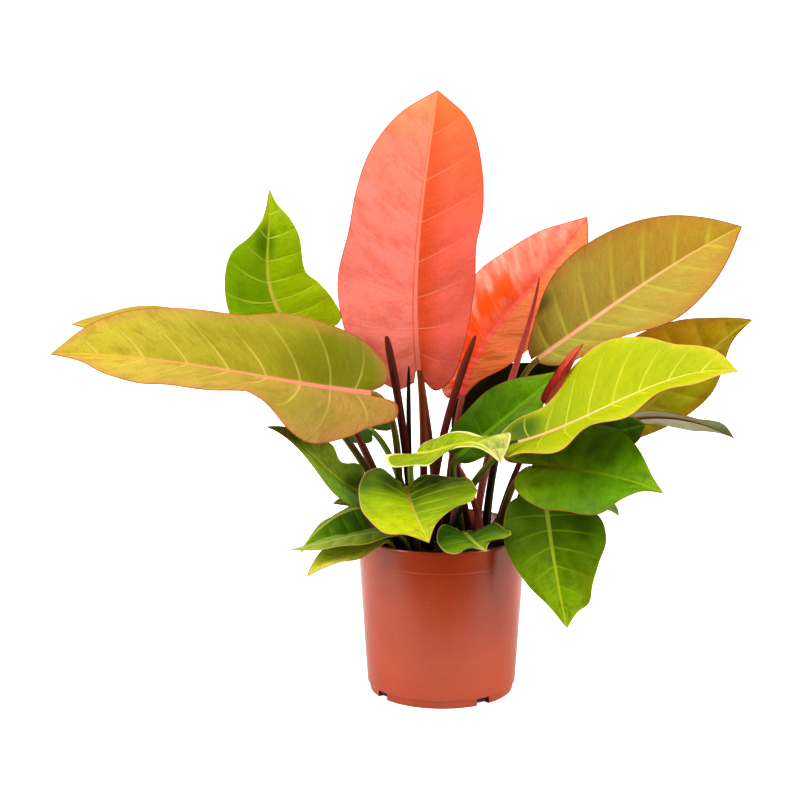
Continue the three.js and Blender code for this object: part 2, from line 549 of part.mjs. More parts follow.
function potGeometry() {
  const bandFoot = POT_HEIGHT - RIM_BAND;
  const body = lathe([
    [0, 0], [FOOT_RADIUS - EDGE, 0], [FOOT_RADIUS, EDGE], [FOOT_RADIUS, FOOT_HEIGHT - EDGE],
    [WALL_FOOT_RADIUS, FOOT_HEIGHT], [WALL_TOP_RADIUS, bandFoot],
    [WALL_TOP_RADIUS + RIM_STEP, bandFoot + EDGE], [RIM_RADIUS, POT_HEIGHT - 3 * EDGE],
    [RIM_RADIUS - EDGE, POT_HEIGHT - EDGE], [RIM_RADIUS - RIM_LIP + EDGE, POT_HEIGHT],
    [RIM_RADIUS - RIM_LIP, POT_HEIGHT - EDGE], [innerWall(bandFoot), bandFoot],
    [innerWall(FOOT_HEIGHT + WALL), FOOT_HEIGHT + WALL], [INNER_FOOT_RADIUS, FOOT_HEIGHT - WALL],
    [INNER_FOOT_RADIUS, FLOOR], [0, FLOOR],
  ], POT_SEGMENTS);
  const inside = lathe([
    [0, FLOOR / 2], [INNER_FOOT_RADIUS + WALL, FLOOR / 2], [INNER_FOOT_RADIUS + WALL, FOOT_HEIGHT],
    [WALL_FOOT_RADIUS - WALL / 2, FOOT_HEIGHT + WALL], [WALL_FOOT_RADIUS - WALL / 2, WALL_FOOT_RADIUS],
    [0, WALL_FOOT_RADIUS],
  ], POT_SEGMENTS);
  const insideSolid = solidOf(inside);
  let pot = solidOf(body);
  for (const angle of POCKET_ANGLES) {
    const cover = pocketBox(angle, POCKET_WIDTH + 2 * POCKET_ROOF, POCKET_DEPTH + POCKET_ROOF,
      POCKET_HEIGHT + POCKET_ROOF - FLOOR / 2, FLOOR / 2);
    pot = pot.add(cover.intersect(insideSolid));
    pot = pot.subtract(pocketBox(angle, POCKET_WIDTH, POCKET_DEPTH, POCKET_HEIGHT + 1, -1));
    const drain = upright(new THREE.CylinderGeometry(DRAIN_RADIUS, DRAIN_RADIUS, 6, 10));
    drain.translate(0, POCKET_DEPTH / 2 - FOOT_RADIUS + 2, POCKET_HEIGHT + 1);
    pot = pot.subtract(solidOf(drain.rotateZ(radians(angle))));
  }
  return geometryOf(pot);
}

// Low lumps all over the soil, the same on each run
const lump = (x, y) => SOIL_LUMP * (Math.sin(x / 7 + 1.3 * Math.sin(y / 9))
  + Math.sin(y / 6 + 1.7 * Math.sin(x / 11))) / 2;

function soilGeometry() {
  const shoulder = FOOT_HEIGHT + 2 * WALL;
  const topRadius = innerWall(SOIL_TOP) - 2 * GAP;
  const profile = [
    [0, FLOOR + GAP], [INNER_FOOT_RADIUS - GAP, FLOOR + GAP],
    [INNER_FOOT_RADIUS - GAP, FOOT_HEIGHT - WALL], [innerWall(shoulder) - 2 * GAP, shoulder],
  ];
  for (let i = SOIL_RINGS; i >= 0; i -= 1) profile.push([topRadius * i / SOIL_RINGS, SOIL_TOP]);
  const body = lathe(profile, SOIL_SEGMENTS);
  const position = body.attributes.position;
  for (let i = 0; i < position.count; i += 1) {
    if (position.getZ(i) > SOIL_TOP - 1) {
      position.setZ(i, SOIL_TOP + lump(position.getX(i), position.getY(i)));
    }
  }
  let soil = solidOf(body);
  for (const angle of POCKET_ANGLES) {
    soil = soil.subtract(pocketBox(angle, POCKET_WIDTH + 2 * POCKET_ROOF + 2 * GAP,
      POCKET_DEPTH + POCKET_ROOF + GAP, POCKET_HEIGHT + POCKET_ROOF + GAP, 0));
  }
  const holes = [
    ...LEAVES.map((leaf) => stalkGeometry(leaf, HOLE_CLEARANCE, HOLE_CLEARANCE)),
    ...SPEARS.map((spear) => spearGeometry(spear, HOLE_CLEARANCE, HOLE_CLEARANCE)),
  ];
  for (const hole of holes) soil = soil.subtract(solidOf(hole));
  return geometryOf(soil);
}

const group = new THREE.Group();

function place(name, geometry, colour) {
  const mesh = new THREE.Mesh(geometry, colour);
  mesh.name = name;
  group.add(mesh);
}

for (const leaf of LEAVES) {
  leaf.curve = curveThrough(leaf.rib);
  leaf.length = leaf.curve.getLength();
  for (const half of [leaf.left, leaf.right]) {
    half.width = Math.max(...half.margin.map(([, out]) => out));
    half.line = marginLine(half, leaf.length);
  }
  place(`blade_${leaf.name}`, blade(leaf), leaf.colour);
  place(`stalk_${leaf.name}`, stalkGeometry(leaf), leaf.stalkColour);
}
for (const spear of SPEARS) place(spear.name, spearGeometry(spear), spear.colour);
place('pot', potGeometry(), TERRACOTTA);
place('soil', soilGeometry(), EARTH);

export default group;
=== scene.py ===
# %% [markdown]
# # A potted philodendron, leaf by leaf
#
# The plant is a rosette: every leaf is a flat blade on a round stalk, and all the stalks
# start near the middle of the soil. Young blades are coral, older ones bronze and lime,
# and the oldest green, so one plant shows every colour at once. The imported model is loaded
# first. Each piece made here then takes the place of the solid with its name.

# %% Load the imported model
import math

import bmesh
import bpy
import numpy as np
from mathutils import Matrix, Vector


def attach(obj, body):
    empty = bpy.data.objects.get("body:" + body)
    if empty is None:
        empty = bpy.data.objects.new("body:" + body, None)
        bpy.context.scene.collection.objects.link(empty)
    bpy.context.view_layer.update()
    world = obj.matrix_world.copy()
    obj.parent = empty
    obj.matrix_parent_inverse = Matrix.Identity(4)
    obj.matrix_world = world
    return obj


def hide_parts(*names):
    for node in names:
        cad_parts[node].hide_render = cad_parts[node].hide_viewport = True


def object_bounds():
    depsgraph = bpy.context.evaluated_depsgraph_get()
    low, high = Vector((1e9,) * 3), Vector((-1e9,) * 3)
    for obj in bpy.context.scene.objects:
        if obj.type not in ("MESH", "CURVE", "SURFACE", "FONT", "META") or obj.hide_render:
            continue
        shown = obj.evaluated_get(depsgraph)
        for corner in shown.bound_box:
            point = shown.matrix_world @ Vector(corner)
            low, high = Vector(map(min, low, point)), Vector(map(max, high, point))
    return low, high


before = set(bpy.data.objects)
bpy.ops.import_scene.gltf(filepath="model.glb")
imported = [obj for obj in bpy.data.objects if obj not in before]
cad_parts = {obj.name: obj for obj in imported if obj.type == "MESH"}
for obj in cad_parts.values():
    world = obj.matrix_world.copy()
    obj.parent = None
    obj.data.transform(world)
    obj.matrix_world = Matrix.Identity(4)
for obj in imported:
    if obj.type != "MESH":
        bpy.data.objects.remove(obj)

scene = bpy.context.scene
cad_box = [list(corner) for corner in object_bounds()]
print("loaded", len(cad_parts), "solids in the box", cad_box)

# %% [markdown]
# ## The camera
#
# A long lens from two and a half metres away, tilted a little down, as for a catalogue
# picture. The rim of the pot is a circle of known size, so the flatness of its ellipse
# gives the tilt, and how much the pot's sides converge gives the distance.

# %% Camera
CAMERA_PLACE = (-0.0418, -2.47125, 0.85833)
CAMERA_TILT = 12.8
SENSOR = 36
LENS = 115.2

camera_data = bpy.data.cameras.new("camera")
camera_data.sensor_width = SENSOR
camera_data.lens = LENS
camera = bpy.data.objects.new("camera", camera_data)
camera.location = CAMERA_PLACE
camera.rotation_euler = (math.radians(90 - CAMERA_TILT), 0, 0)
scene.collection.objects.link(camera)
scene.camera = camera
print("camera at", CAMERA_PLACE, "with a lens of", LENS, "mm")

# %% [markdown]
# ## One way to write a colour, and one way to add a node
#
# Colours are written as they look on a screen, and one function turns them into the linear
# values that light works with. Every material below is a tree of nodes. A second small
# function adds a node, sets it and links it, so that a tree reads from top to bottom.

# %% Colours
def linear(colour):
    """The linear value of a colour written as sRGB hex digits."""
    parts = [int(colour[i:i + 2], 16) / 255 for i in (1, 3, 5)]
    return [p / 12.92 if p <= 0.04045 else ((p + 0.055) / 1.055) ** 2.4 for p in parts] + [1]


print("white is", linear("#ffffff"), "and mid grey is", linear("#808080"))


# %% Nodes
def add(tree, kind, inputs=None, stops=(), **settings):
    """Adds a node. An input is a value, a hex colour, a socket, or a node's first output."""
    node = tree.nodes.new("ShaderNode" + kind)
    for name, value in settings.items():
        setattr(node, name, value)
    for key, value in (inputs or {}).items():
        if isinstance(value, bpy.types.Node):
            value = value.outputs[0]
        if isinstance(value, bpy.types.NodeSocket):
            tree.links.new(value, node.inputs[key])
        else:
            node.inputs[key].default_value = linear(value) if isinstance(value, str) else value
    for i, (place, colour) in enumerate(stops):
        ramp = node.color_ramp.elements
        stop = ramp[i] if i < len(ramp) else ramp.new(place)
        stop.position = place
        stop.color = linear(colour)
    return node


# %% An empty material
WAX_IOR = 1.45


def new_material(name, base_roughness):
    """A material with an empty Principled surface, whose IOR is that of wax and plastics."""
    material = bpy.data.materials.new(name)
    material.use_nodes = True
    tree = material.node_tree
    surface = tree.nodes["Principled BSDF"]
    surface.inputs["Roughness"].default_value = base_roughness
    surface.inputs["IOR"].default_value = WAX_IOR
    return material, tree, surface


# %% [markdown]
# ## Light
#
# Catalogue pictures of plants are taken in a white box: large soft lamps at both sides and
# above, and white all round. Two tall panels give the pot its pale sides and its darker
# middle, and the one above makes the upper sides of the leaves shine.

# %% Panels
PANELS = {
    # name: (place, size across and up, power in watts)
    "left_panel": ((-2.6, -1.1, 1.2), (1.6, 2.4), 66),
    "right_panel": ((2.6, -1.0, 1.1), (1.6, 2.4), 64),
    "top_panel": ((-0.3, -0.7, 2.6), (2.2, 1.8), 42),
}
MIDDLE_OF_PLANT = Vector((0, 0, 0.3))

for name, (place, size, power) in PANELS.items():
    light = bpy.data.lights.new(name, "AREA")
    light.shape = "RECTANGLE"
    light.size, light.size_y = size
    light.energy = power
    panel = bpy.data.objects.new(name, light)
    panel.location = place
    panel.rotation_euler = (MIDDLE_OF_PLANT - panel.location).to_track_quat("-Z", "Y").to_euler()
    scene.collection.objects.link(panel)
print("hung", len(PANELS), "panels")

# %% [markdown]
# ## The white room
#
# The room has to look white to the camera, but a plain white room would make the pot pale
# all over. So the camera sees white, while the light itself is dim on the camera's side of
# the room and full behind the plant, as when the photographer stands in a dark doorway.

# %% Room
WHITE_SEEN = 1.05
DIM_LIGHT = 0.1
FULL_LIGHT = 0.7
DIM_SIDE = -0.9
FULL_SIDE = 0.3

world = bpy.data.worlds.new("white_box")
scene.world = world
world.use_nodes = True
room = world.node_tree
room.nodes.clear()
seen = add(room, "Background", {"Color": "#ffffff", "Strength": WHITE_SEEN})
towards = add(room, "SeparateXYZ", {0: add(room, "TexCoord").outputs["Generated"]})
strength = add(room, "MapRange", {0: towards.outputs["Y"], 1: DIM_SIDE, 2: FULL_SIDE,
                                  3: DIM_LIGHT, 4: FULL_LIGHT})
lighting = add(room, "Background", {"Color": "#ffffff", "Strength": strength})
rays = add(room, "LightPath")
both = add(room, "MixShader", {0: rays.outputs["Is Camera Ray"], 1: lighting, 2: seen})
add(room, "OutputWorld", {"Surface": both})
scene.view_settings.view_transform = "Standard"
scene.view_settings.look = "Medium High Contrast"
print("the room's light runs from", DIM_LIGHT, "to", FULL_LIGHT)

# %% [markdown]
# ## The floor
#
# The plant stands on matt white paper. In front of the pot the paper is a dark brown to
# everything but the camera, so that the pot's wall mirrors a darker patch low down. What
# the camera itself sees is lifted to the white of the room.

# %% Floor
FLOOR_HALF = 30
FLOOR_DROP = 0.0004
DARK_FROM = -0.2
DARK_TO = -0.34
LIFT_BEHIND = 0.66
LIFT_IN_FRONT = 1.05

floor_bm = bmesh.new()
bmesh.ops.create_grid(floor_bm, x_segments=1, y_segments=1, size=FLOOR_HALF)
bmesh.ops.translate(floor_bm, verts=floor_bm.verts, vec=(0, 0, -FLOOR_DROP))
floor_mesh = bpy.data.meshes.new("floor")
floor_bm.to_mesh(floor_mesh)
floor_bm.free()
floor = bpy.data.objects.new("floor", floor_mesh)
scene.collection.objects.link(floor)

# Uncoated paper: rough fibres scatter the light evenly, so it has no shine at all.
paper, tree, surface = new_material("matt_white_paper", 0.9)
place = add(tree, "SeparateXYZ", {0: add(tree, "TexCoord").outputs["Object"]})
in_front = add(tree, "MapRange", {0: place.outputs["Y"], 1: DARK_FROM, 2: DARK_TO})
colour = add(tree, "Mix", {0: in_front, 6: "#f7f6f4", 7: "#3c3430"}, data_type="RGBA")
tree.links.new(colour.outputs[2], surface.inputs["Base Color"])
lift = add(tree, "MapRange", {0: in_front, 3: LIFT_BEHIND, 4: LIFT_IN_FRONT})
seen = add(tree, "LightPath").outputs["Is Camera Ray"]
lift = add(tree, "Math", {0: seen, 1: lift}, operation="MULTIPLY")
tree.links.new(lift.outputs[0], surface.inputs["Emission Strength"])
surface.inputs["Emission Color"].default_value = linear("#ffffff")
floor_mesh.materials.append(paper)
print("laid the floor", FLOOR_DROP * 1000, "mm under the pot")

# %% [markdown]
# ## The leaves, as drawn lines
#
# A leaf is set down as a gardener would describe it: where its midrib runs, which way its
# upper side looks, the line of each margin, and where its stalk leaves the soil. All are
# in millimetres, with the pot's axis at zero.
#
# - `rows` is how fine the mesh is, and `veins` how many side veins a half has.
# - `slant` is how far the veins sweep towards the tip, and `quilt` how much the sheet
#   swells between them, where these differ from most leaves.
# - `rib` is four points of the midrib, from the stalk to the tip.
# - `face` is the way that the upper side looks at the stalk and at the tip. It turns from
#   one to the other along the whole midrib, or between the two shares of `turn`.
# - `left` and `right` are the halves of the blade as seen from above with the tip upwards.
# - `root` is where the stalk leaves the soil. It keeps upright for about `rise`, arrives
#   in line with the midrib over about `reach`, and `stalk` is its radius at both ends.
#
# `side` is one half. Its margin starts at the lobe beside the stalk; each point is how far
# along the midrib, and how far out from it. The half can lift off the midrib (fold, in
# degrees at the stalk and at the tip), bend on towards its margin (curl, in degrees), and
# wave (height, number of waves, and where the first one starts).

# %% Halves of a leaf
def side(margin, fold=(8, 8), curl=-8, wave=(1.5, 2, 0)):
    """One half of a blade."""
    return {"margin": margin, "fold": fold, "curl": curl, "wave": wave}


def egg(length, width, lobe):
    """The margin of a plain egg-shaped half, widest a quarter of the way up."""
    return [(-lobe / 3, 0.12 * width), (-lobe, 0.35 * width), (-0.3 * lobe, 0.75 * width),
            (0.25 * length, width), (0.5 * length, 0.88 * width), (0.8 * length, 0.45 * width)]


# %% Leaves
LEAVES = {
    "coral_tall": dict(
        rows="large", veins=8, slant=0.06, quilt=0.7,
        rib=[(-23, 0, 327), (-26, -4, 421), (-18, 5, 511), (-5, 32, 600)],
        face=[(-0.05, -1, 0.1), (0.1, -1, 0.2)],
        left=side([(-12, 6), (-17, 22), (-2, 44), (30, 65), (85, 77), (135, 69), (170, 66), (210, 57),
                   (248, 35)], wave=(2, 2.5, 0)),
        right=side([(-12, 4), (-22, 14), (-14, 29), (6, 41), (50, 53), (95, 58), (131, 57), (167, 60),
                    (211, 53), (253, 35)], fold=(10, 10), wave=(2, 2.5, 1)),
        root=(-18, 2), rise=60, reach=50, stalk=(4.6, 2.9),
    ),
    "coral_leaning": dict(
        rows="large", veins=8,
        rib=[(20, 25, 296), (53, 60, 355), (103, 96, 404), (150, 126, 461)],
        face=[(-0.3, -0.9, 0.2), (-0.2, -0.9, 0.3)],
        left=side([(-3, 3), (-5, 15), (12, 26), (54, 40), (115, 52), (146, 48), (195, 32), (218, 16)],
                  fold=(6, 6), wave=(2, 2.5, 1)),
        right=side([(0, 4), (16, 13), (42, 34), (65, 41), (106, 43), (155, 37), (192, 26), (213, 15)],
                   fold=(8, 12), curl=6),
        root=(4, 27), rise=50, reach=40, stalk=(4.4, 2.9),
    ),
    "bronze_right": dict(
        rows="large", veins=8, slant=0.05,
        rib=[(96, 32, 332), (161, 35, 379), (229, 44, 424), (300, 60, 461)],
        face=[(-0.2, -0.9, 0.1), (-0.1, -0.9, 0.35)],
        left=side([(-6, 3), (-3, 13), (10, 25), (50, 54), (80, 64), (112, 65), (145, 60), (182, 47),
                   (213, 27)], fold=(4, 4), curl=-4),
        right=side([(-2, 4), (5, 13), (18, 22), (55, 30), (80, 36), (116, 51), (155, 54), (180, 48),
                    (213, 27)], fold=(22, 26), curl=8, wave=(2.5, 2.6, 2)),
        root=(44, 14), rise=70, reach=40, stalk=(4.6, 2.9),
    ),
    "olive_back_right": dict(
        rows="large", veins=8,
        rib=[(173, 80, 245), (225, 92, 281), (276, 104, 324), (321, 112, 356)],
        face=[(-0.2, -0.8, 0.5), (-0.1, -0.8, 0.5)],
        left=side([(-6, 4), (-8, 14), (8, 38), (30, 58), (60, 68), (93, 63), (131, 46), (159, 24)]),
        right=side([(-6, 4), (-4, 12), (31, 27), (73, 36), (103, 36), (125, 27), (156, 8)]),
        root=(58, 16), rise=45, reach=35, stalk=(4.4, 2.9),
    ),
    "lime_right": dict(
        rows="long", veins=9, slant=0.1,
        rib=[(74, -36, 262), (144, -62, 297), (211, -86, 334), (278, -104, 348)],
        face=[(0, -0.5, 0.87), (0, -0.45, 0.9)],
        left=side([(-8, 5), (-19, 13), (-1, 27), (33, 33), (52, 46), (69, 64), (110, 73), (149, 61),
                   (176, 41), (211, 25)], fold=(18, 18), wave=(3, 1.7, 2.7)),
        right=side([(-9, 5), (-22, 14), (-16, 30), (4, 43), (40, 52), (120, 50), (160, 44), (198, 34),
                    (219, 16)], fold=(26, 26), wave=(5, 3, 0.4)),
        root=(4, -12), rise=40, reach=40, stalk=(4.4, 2.9),
    ),
    "grey_narrow_right": dict(
        rows="small", veins=6,
        rib=[(160, 36, 262), (204, 28, 273), (248, 16, 272), (290, 0, 258)],
        face=[(0, 0.6, 0.8), (0, 0.6, 0.8)],
        left=side([(-4, 3), (17, 14), (52, 22), (88, 36), (108, 20), (124, 8)], wave=(1.5, 2, 0)),
        right=side([(-4, 3), (8, 11), (46, 14), (80, 9), (105, 9), (122, 19)], wave=(1.5, 2, 1)),
        root=(63, 3), rise=40, reach=30, stalk=(3.8, 2.6),
    ),
    "green_centre": dict(
        rows="small", veins=6,
        rib=[(16, -8, 242), (49, -4, 268), (84, 4, 296), (122, 16, 324)],
        face=[(-0.3, -0.9, 0.2), (-0.3, -0.9, 0.3)],
        left=side([(-6, 4), (-5, 13), (10, 25), (33, 30), (60, 33), (86, 27), (117, 10)]),
        right=side([(-6, 4), (3, 12), (26, 19), (56, 27), (92, 18), (109, 7)]),
        root=(22, 5), rise=40, reach=20, stalk=(4, 3),
    ),
    "dark_centre": dict(
        rows="small", veins=6,
        rib=[(23, 50, 248), (55, 58, 271), (87, 66, 292), (121, 74, 316)],
        face=[(-0.3, -0.8, 0.5), (-0.3, -0.8, 0.5)],
        left=side([(-3, 4), (-5, 13), (6, 26), (32, 42), (64, 42), (100, 22)]),
        right=side(egg(125, 32, 10)),
        root=(30, 24), rise=40, reach=25, stalk=(4, 3),
    ),
    "red_furled": dict(
        rows="small", veins=6,
        rib=[(104, -13, 296), (116, -11, 316), (127, -7, 335), (139, 0, 354)],
        face=[(-0.8, -0.4, 0.4), (-0.8, -0.4, 0.4)],
        left=side(egg(75, 11, 2), fold=(35, 35), curl=40, wave=(0, 2, 0)),
        right=side(egg(75, 11, 2), fold=(35, 35), curl=40, wave=(0, 2, 0)),
        root=(52, 3), rise=50, reach=25, stalk=(3.6, 2.2),
    ),
    "green_right": dict(
        rows="large", veins=8, slant=0.06,
        rib=[(87, -46, 240), (129, -74, 244), (170, -98, 242), (209, -116, 232)],
        face=[(0.1, -0.7, 0.7), (0.2, -0.75, 0.6)],
        left=side([(-9, 4), (-28, 5), (-36, 10), (-24, 15), (4, 21), (28, 28), (36, 44), (50, 55),
                   (75, 52), (100, 37), (127, 11)], wave=(2, 2, 0)),
        right=side([(-5, 5), (-12, 13), (-7, 27), (8, 41), (35, 51), (75, 52), (98, 44), (109, 25),
                    (124, 7)], wave=(2, 2.5, 1)),
        root=(54, -12), rise=30, reach=25, stalk=(4.4, 2.9),
    ),
    "green_hanging": dict(
        rows="large", veins=8, slant=0.06,
        rib=[(100, -48, 211), (105, -72, 173), (112, -84, 132), (121, -86, 88)],
        face=[(0, -0.7, 0.7), (0.1, -1, 0.1)],
        left=side([(-2, 4), (0, 14), (12, 32), (28, 51), (54, 53), (75, 43), (95, 33), (113, 26),
                   (120, 13)], wave=(2, 2.5, 2)),
        right=side([(-2, 4), (-3, 18), (5, 35), (25, 44), (48, 45), (82, 31), (108, 13)],
                   wave=(2, 2, 0)),
        root=(62, -28), rise=40, reach=25, stalk=(4.4, 2.9),
    ),
    "lime_wavy": dict(
        rows="large", veins=8,
        rib=[(-25, -50, 255), (3, -56, 262), (30, -66, 269), (55, -78, 252)],
        face=[(0, -0.2, 1), (0, -0.3, 0.95)],
        left=side([(-1, 4), (0, 11), (7, 23), (31, 21), (49, 14), (65, 9), (75, 17), (79, 26),
                   (87, 12)], fold=(4, 50), curl=-6, wave=(1, 1.6, 2.6)),
        right=side([(-10, 4), (-24, 5), (-31, 10), (-22, 29), (2, 24), (13, 25), (24, 17), (38, 8),
                    (55, 8), (80, 4)], fold=(0, 0), curl=-10, wave=(1, 2, 3)),
        root=(-24, -26), rise=50, reach=15, stalk=(3.8, 2.8),
    ),
    "lime_front": dict(
        rows="large", veins=8, slant=0.05,
        rib=[(-35, -50, 220), (-31, -76, 210), (-24, -102, 200), (-14, -122, 185)],
        face=[(0, -0.5, 0.87), (0, -0.6, 0.8)],
        left=side([(-6, 5), (-13, 17), (-4, 40), (12, 60), (34, 66), (58, 57), (59, 36), (68, 15)],
                  fold=(14, 14), wave=(4, 2, 0)),
        right=side([(-7, 5), (-14, 12), (-27, 24), (-20, 38), (8, 49), (48, 48), (65, 38), (71, 18)],
                   fold=(14, 14)),
        root=(-37, -24), rise=40, reach=12, stalk=(4.2, 3),
    ),
    "green_rim": dict(
        rows="small", veins=6,
        rib=[(21, -80, 183), (28, -94, 179), (34, -106, 177), (41, -116, 175)],
        face=[(0, -0.4, 0.9), (0, -0.5, 0.87)],
        left=side([(-2, 4), (8, 17), (0, 32), (12, 37), (38, 33), (37, 22), (29, 16)],
                  fold=(4, 4), wave=(1, 1.5, 2)),
        right=side([(-9, 4), (-20, 13), (-4, 29), (15, 33), (30, 27), (29, 8)], wave=(1, 1.5, 0)),
        root=(20, -36), rise=18, reach=12, stalk=(3.6, 2.6),
    ),
    "bronze_left": dict(
        rows="long", veins=9, slant=0.12,
        rib=[(-70, -36, 312), (-172, -56, 332), (-272, -68, 351), (-378, -62, 356)],
        face=[(0.1, -0.9, 0.4), (0, -0.62, 0.78)], turn=(0.15, 0.4),
        left=side([(-7, 3), (-26, 8), (-26, 23), (2, 36), (22, 48), (55, 58), (82, 53), (112, 38),
                   (155, 46), (197, 43), (229, 51), (252, 44), (283, 15)],
                  fold=(6, 26), curl=-6, wave=(4, 2.6, 1)),
        right=side([(-3, 3), (-13, 10), (-15, 24), (-4, 38), (15, 52), (50, 62), (95, 69), (140, 60),
                    (195, 58), (235, 51), (278, 32)], fold=(6, 20), wave=(2, 2.6, 0)),
        root=(-43, -11), rise=60, reach=35, stalk=(4.6, 2.9),
    ),
    "olive_back_left": dict(
        rows="small", veins=6, slant=0.08,
        rib=[(-190, 8, 351), (-250, 16, 359), (-310, 22, 365), (-369, 26, 368)],
        face=[(0, -0.5, 0.87), (0, -0.4, 0.9)],
        left=side(egg(182, 30, 12)),
        right=side([(-4, 4), (-12, 12), (-4, 26), (45, 36), (95, 36), (128, 30), (150, 19), (168, 9)]),
        root=(-39, 4), rise=60, reach=40, stalk=(4.2, 3),
    ),
    "green_upper_left": dict(
        rows="large", veins=8, slant=0.08, quilt=0.5,
        rib=[(-146, 52, 352), (-172, 56, 399), (-174, 64, 444), (-173, 80, 496)],
        face=[(0.1, -1, 0.2), (0.2, -1, 0.2)],
        left=side([(-8, 4), (-8, 18), (12, 34), (38, 46), (62, 45), (88, 37), (104, 20), (122, 8)]),
        right=side([(-8, 4), (-16, 20), (-18, 44), (0, 51), (44, 48), (68, 38), (108, 31), (125, 21),
                    (140, 7)]),
        root=(-42, 17), rise=50, reach=40, stalk=(4.6, 2.9),
    ),
    "green_folded_left": dict(
        rows="large", veins=8,
        rib=[(-69, -26, 208), (-101, -44, 226), (-134, -58, 261), (-171, -68, 286)],
        face=[(0.3, -0.5, 0.8), (0.4, -0.5, 0.7)],
        left=side([(-4, 4), (4, 24), (25, 38), (50, 37), (75, 29), (100, 13)], fold=(24, 24)),
        right=side([(-4, 4), (9, 22), (27, 28), (50, 18), (71, 23), (107, 12)],
                   fold=(24, 24), wave=(3, 2.5, 0)),
        root=(-49, -20), rise=25, reach=15, stalk=(4, 3),
    ),
    "green_left_low": dict(
        rows="small", veins=6,
        rib=[(-70, -12, 189), (-93, -24, 190), (-119, -38, 177), (-140, -48, 154)],
        face=[(-0.1, -0.7, 0.6), (-0.3, -0.7, 0.6)],
        left=side([(-3, 4), (0, 14), (24, 31), (45, 29), (71, 15)]),
        right=side([(-3, 4), (4, 11), (27, 14), (51, 13), (75, 7)], fold=(-45, -45)),
        root=(-51, -7), rise=20, reach=12, stalk=(4, 2.5),
    ),
    "green_left_rim": dict(
        rows="small", veins=6,
        rib=[(-46, -54, 176), (-80, -68, 178), (-114, -82, 174), (-148, -94, 170)],
        face=[(0, -0.2, 1), (0, -0.2, 1)],
        left=side([(-3, 3), (6, 12), (26, 20), (54, 20), (82, 15)]),
        right=side(egg(110, 20, 5), fold=(-14, -14)),
        root=(-31, -38), rise=15, reach=10, stalk=(3.8, 2.4),
    ),
    "lime_left_rim": dict(
        rows="small", veins=6,
        rib=[(-59, -57, 168.5), (-89, -74, 162), (-113, -90, 157), (-132, -100, 144)],
        face=[(-0.2, -0.5, 0.87), (-0.4, -0.5, 0.7)],
        left=side([(-4, 3), (12, 9), (45, 13), (72, 7)], fold=(6, 6)),
        right=side([(-4, 3), (8, 10), (31, 12), (57, 16), (76, 8)], fold=(6, 6)),
        root=(-46, -34), rise=15, reach=10, stalk=(3.8, 2.4),
    ),
    "green_left_small": dict(
        rows="small", veins=6,
        rib=[(-80, 14, 184), (-90, 10, 189), (-100, 4, 191), (-109, -1, 191)],
        face=[(0, -0.5, 0.87), (0, -0.5, 0.87)],
        left=side(egg(34, 9, 2), wave=(0.5, 2, 0)),
        right=side(egg(34, 9, 2), wave=(0.5, 2, 0)),
        root=(-52, 6), rise=15, reach=8, stalk=(3, 1.7),
    ),
    "dark_right": dict(
        rows="small", veins=6,
        rib=[(104, -17, 242), (136, -15, 256), (169, -12, 266), (202, -9, 274)],
        face=[(0, -0.9, 0.4), (0, -0.9, 0.4)],
        left=side(egg(115, 24, 6)),
        right=side(egg(115, 30, 8)),
        root=(69, -6), rise=40, reach=30, stalk=(3.6, 2.6),
    ),
    "green_back_left": dict(
        rows="small", veins=6,
        rib=[(-70, 66, 250), (-110, 98, 272), (-150, 132, 286), (-190, 168, 285)],
        face=[(0, -0.4, 0.9), (0, 0.1, 1)],
        left=side(egg(165, 38, 12)),
        right=side(egg(165, 38, 12)),
        root=(-28, 24), rise=40, reach=30, stalk=(4.2, 3),
    ),
    "green_back_right": dict(
        rows="small", veins=6,
        rib=[(104, 56, 190), (134, 62, 190), (160, 58, 180), (181, 44, 166)],
        face=[(0.1, -0.3, 0.95), (0.6, -0.2, 0.7)],
        left=side(egg(95, 28, 8)),
        right=side(egg(95, 28, 8)),
        root=(46, 30), rise=30, reach=25, stalk=(4, 3),
    ),
    "green_back_centre": dict(
        rows="small", veins=6,
        rib=[(-22, 46, 318), (-24, 78, 345), (-22, 112, 360), (-18, 150, 360)],
        face=[(0, -0.6, 0.8), (0, 0, 1)],
        left=side(egg(120, 34, 10)),
        right=side(egg(120, 34, 10)),
        root=(-3, 14), rise=70, reach=30, stalk=(4.2, 3),
    ),
}
print("drew", len(LEAVES), "leaves")

# %% [markdown]
# ## The rolled leaf and the sheaths, as drawn lines
#
# These are scrolls. `girth` is the radius at the foot and where the scroll is thickest,
# `path` four points of its middle line, `twist` how many turns its outer edge winds up,
# `lap` how far that edge stands out, as a share of the radius, and `point` how bluntly it
# closes. `relief` is how strongly the lines along it stand out.

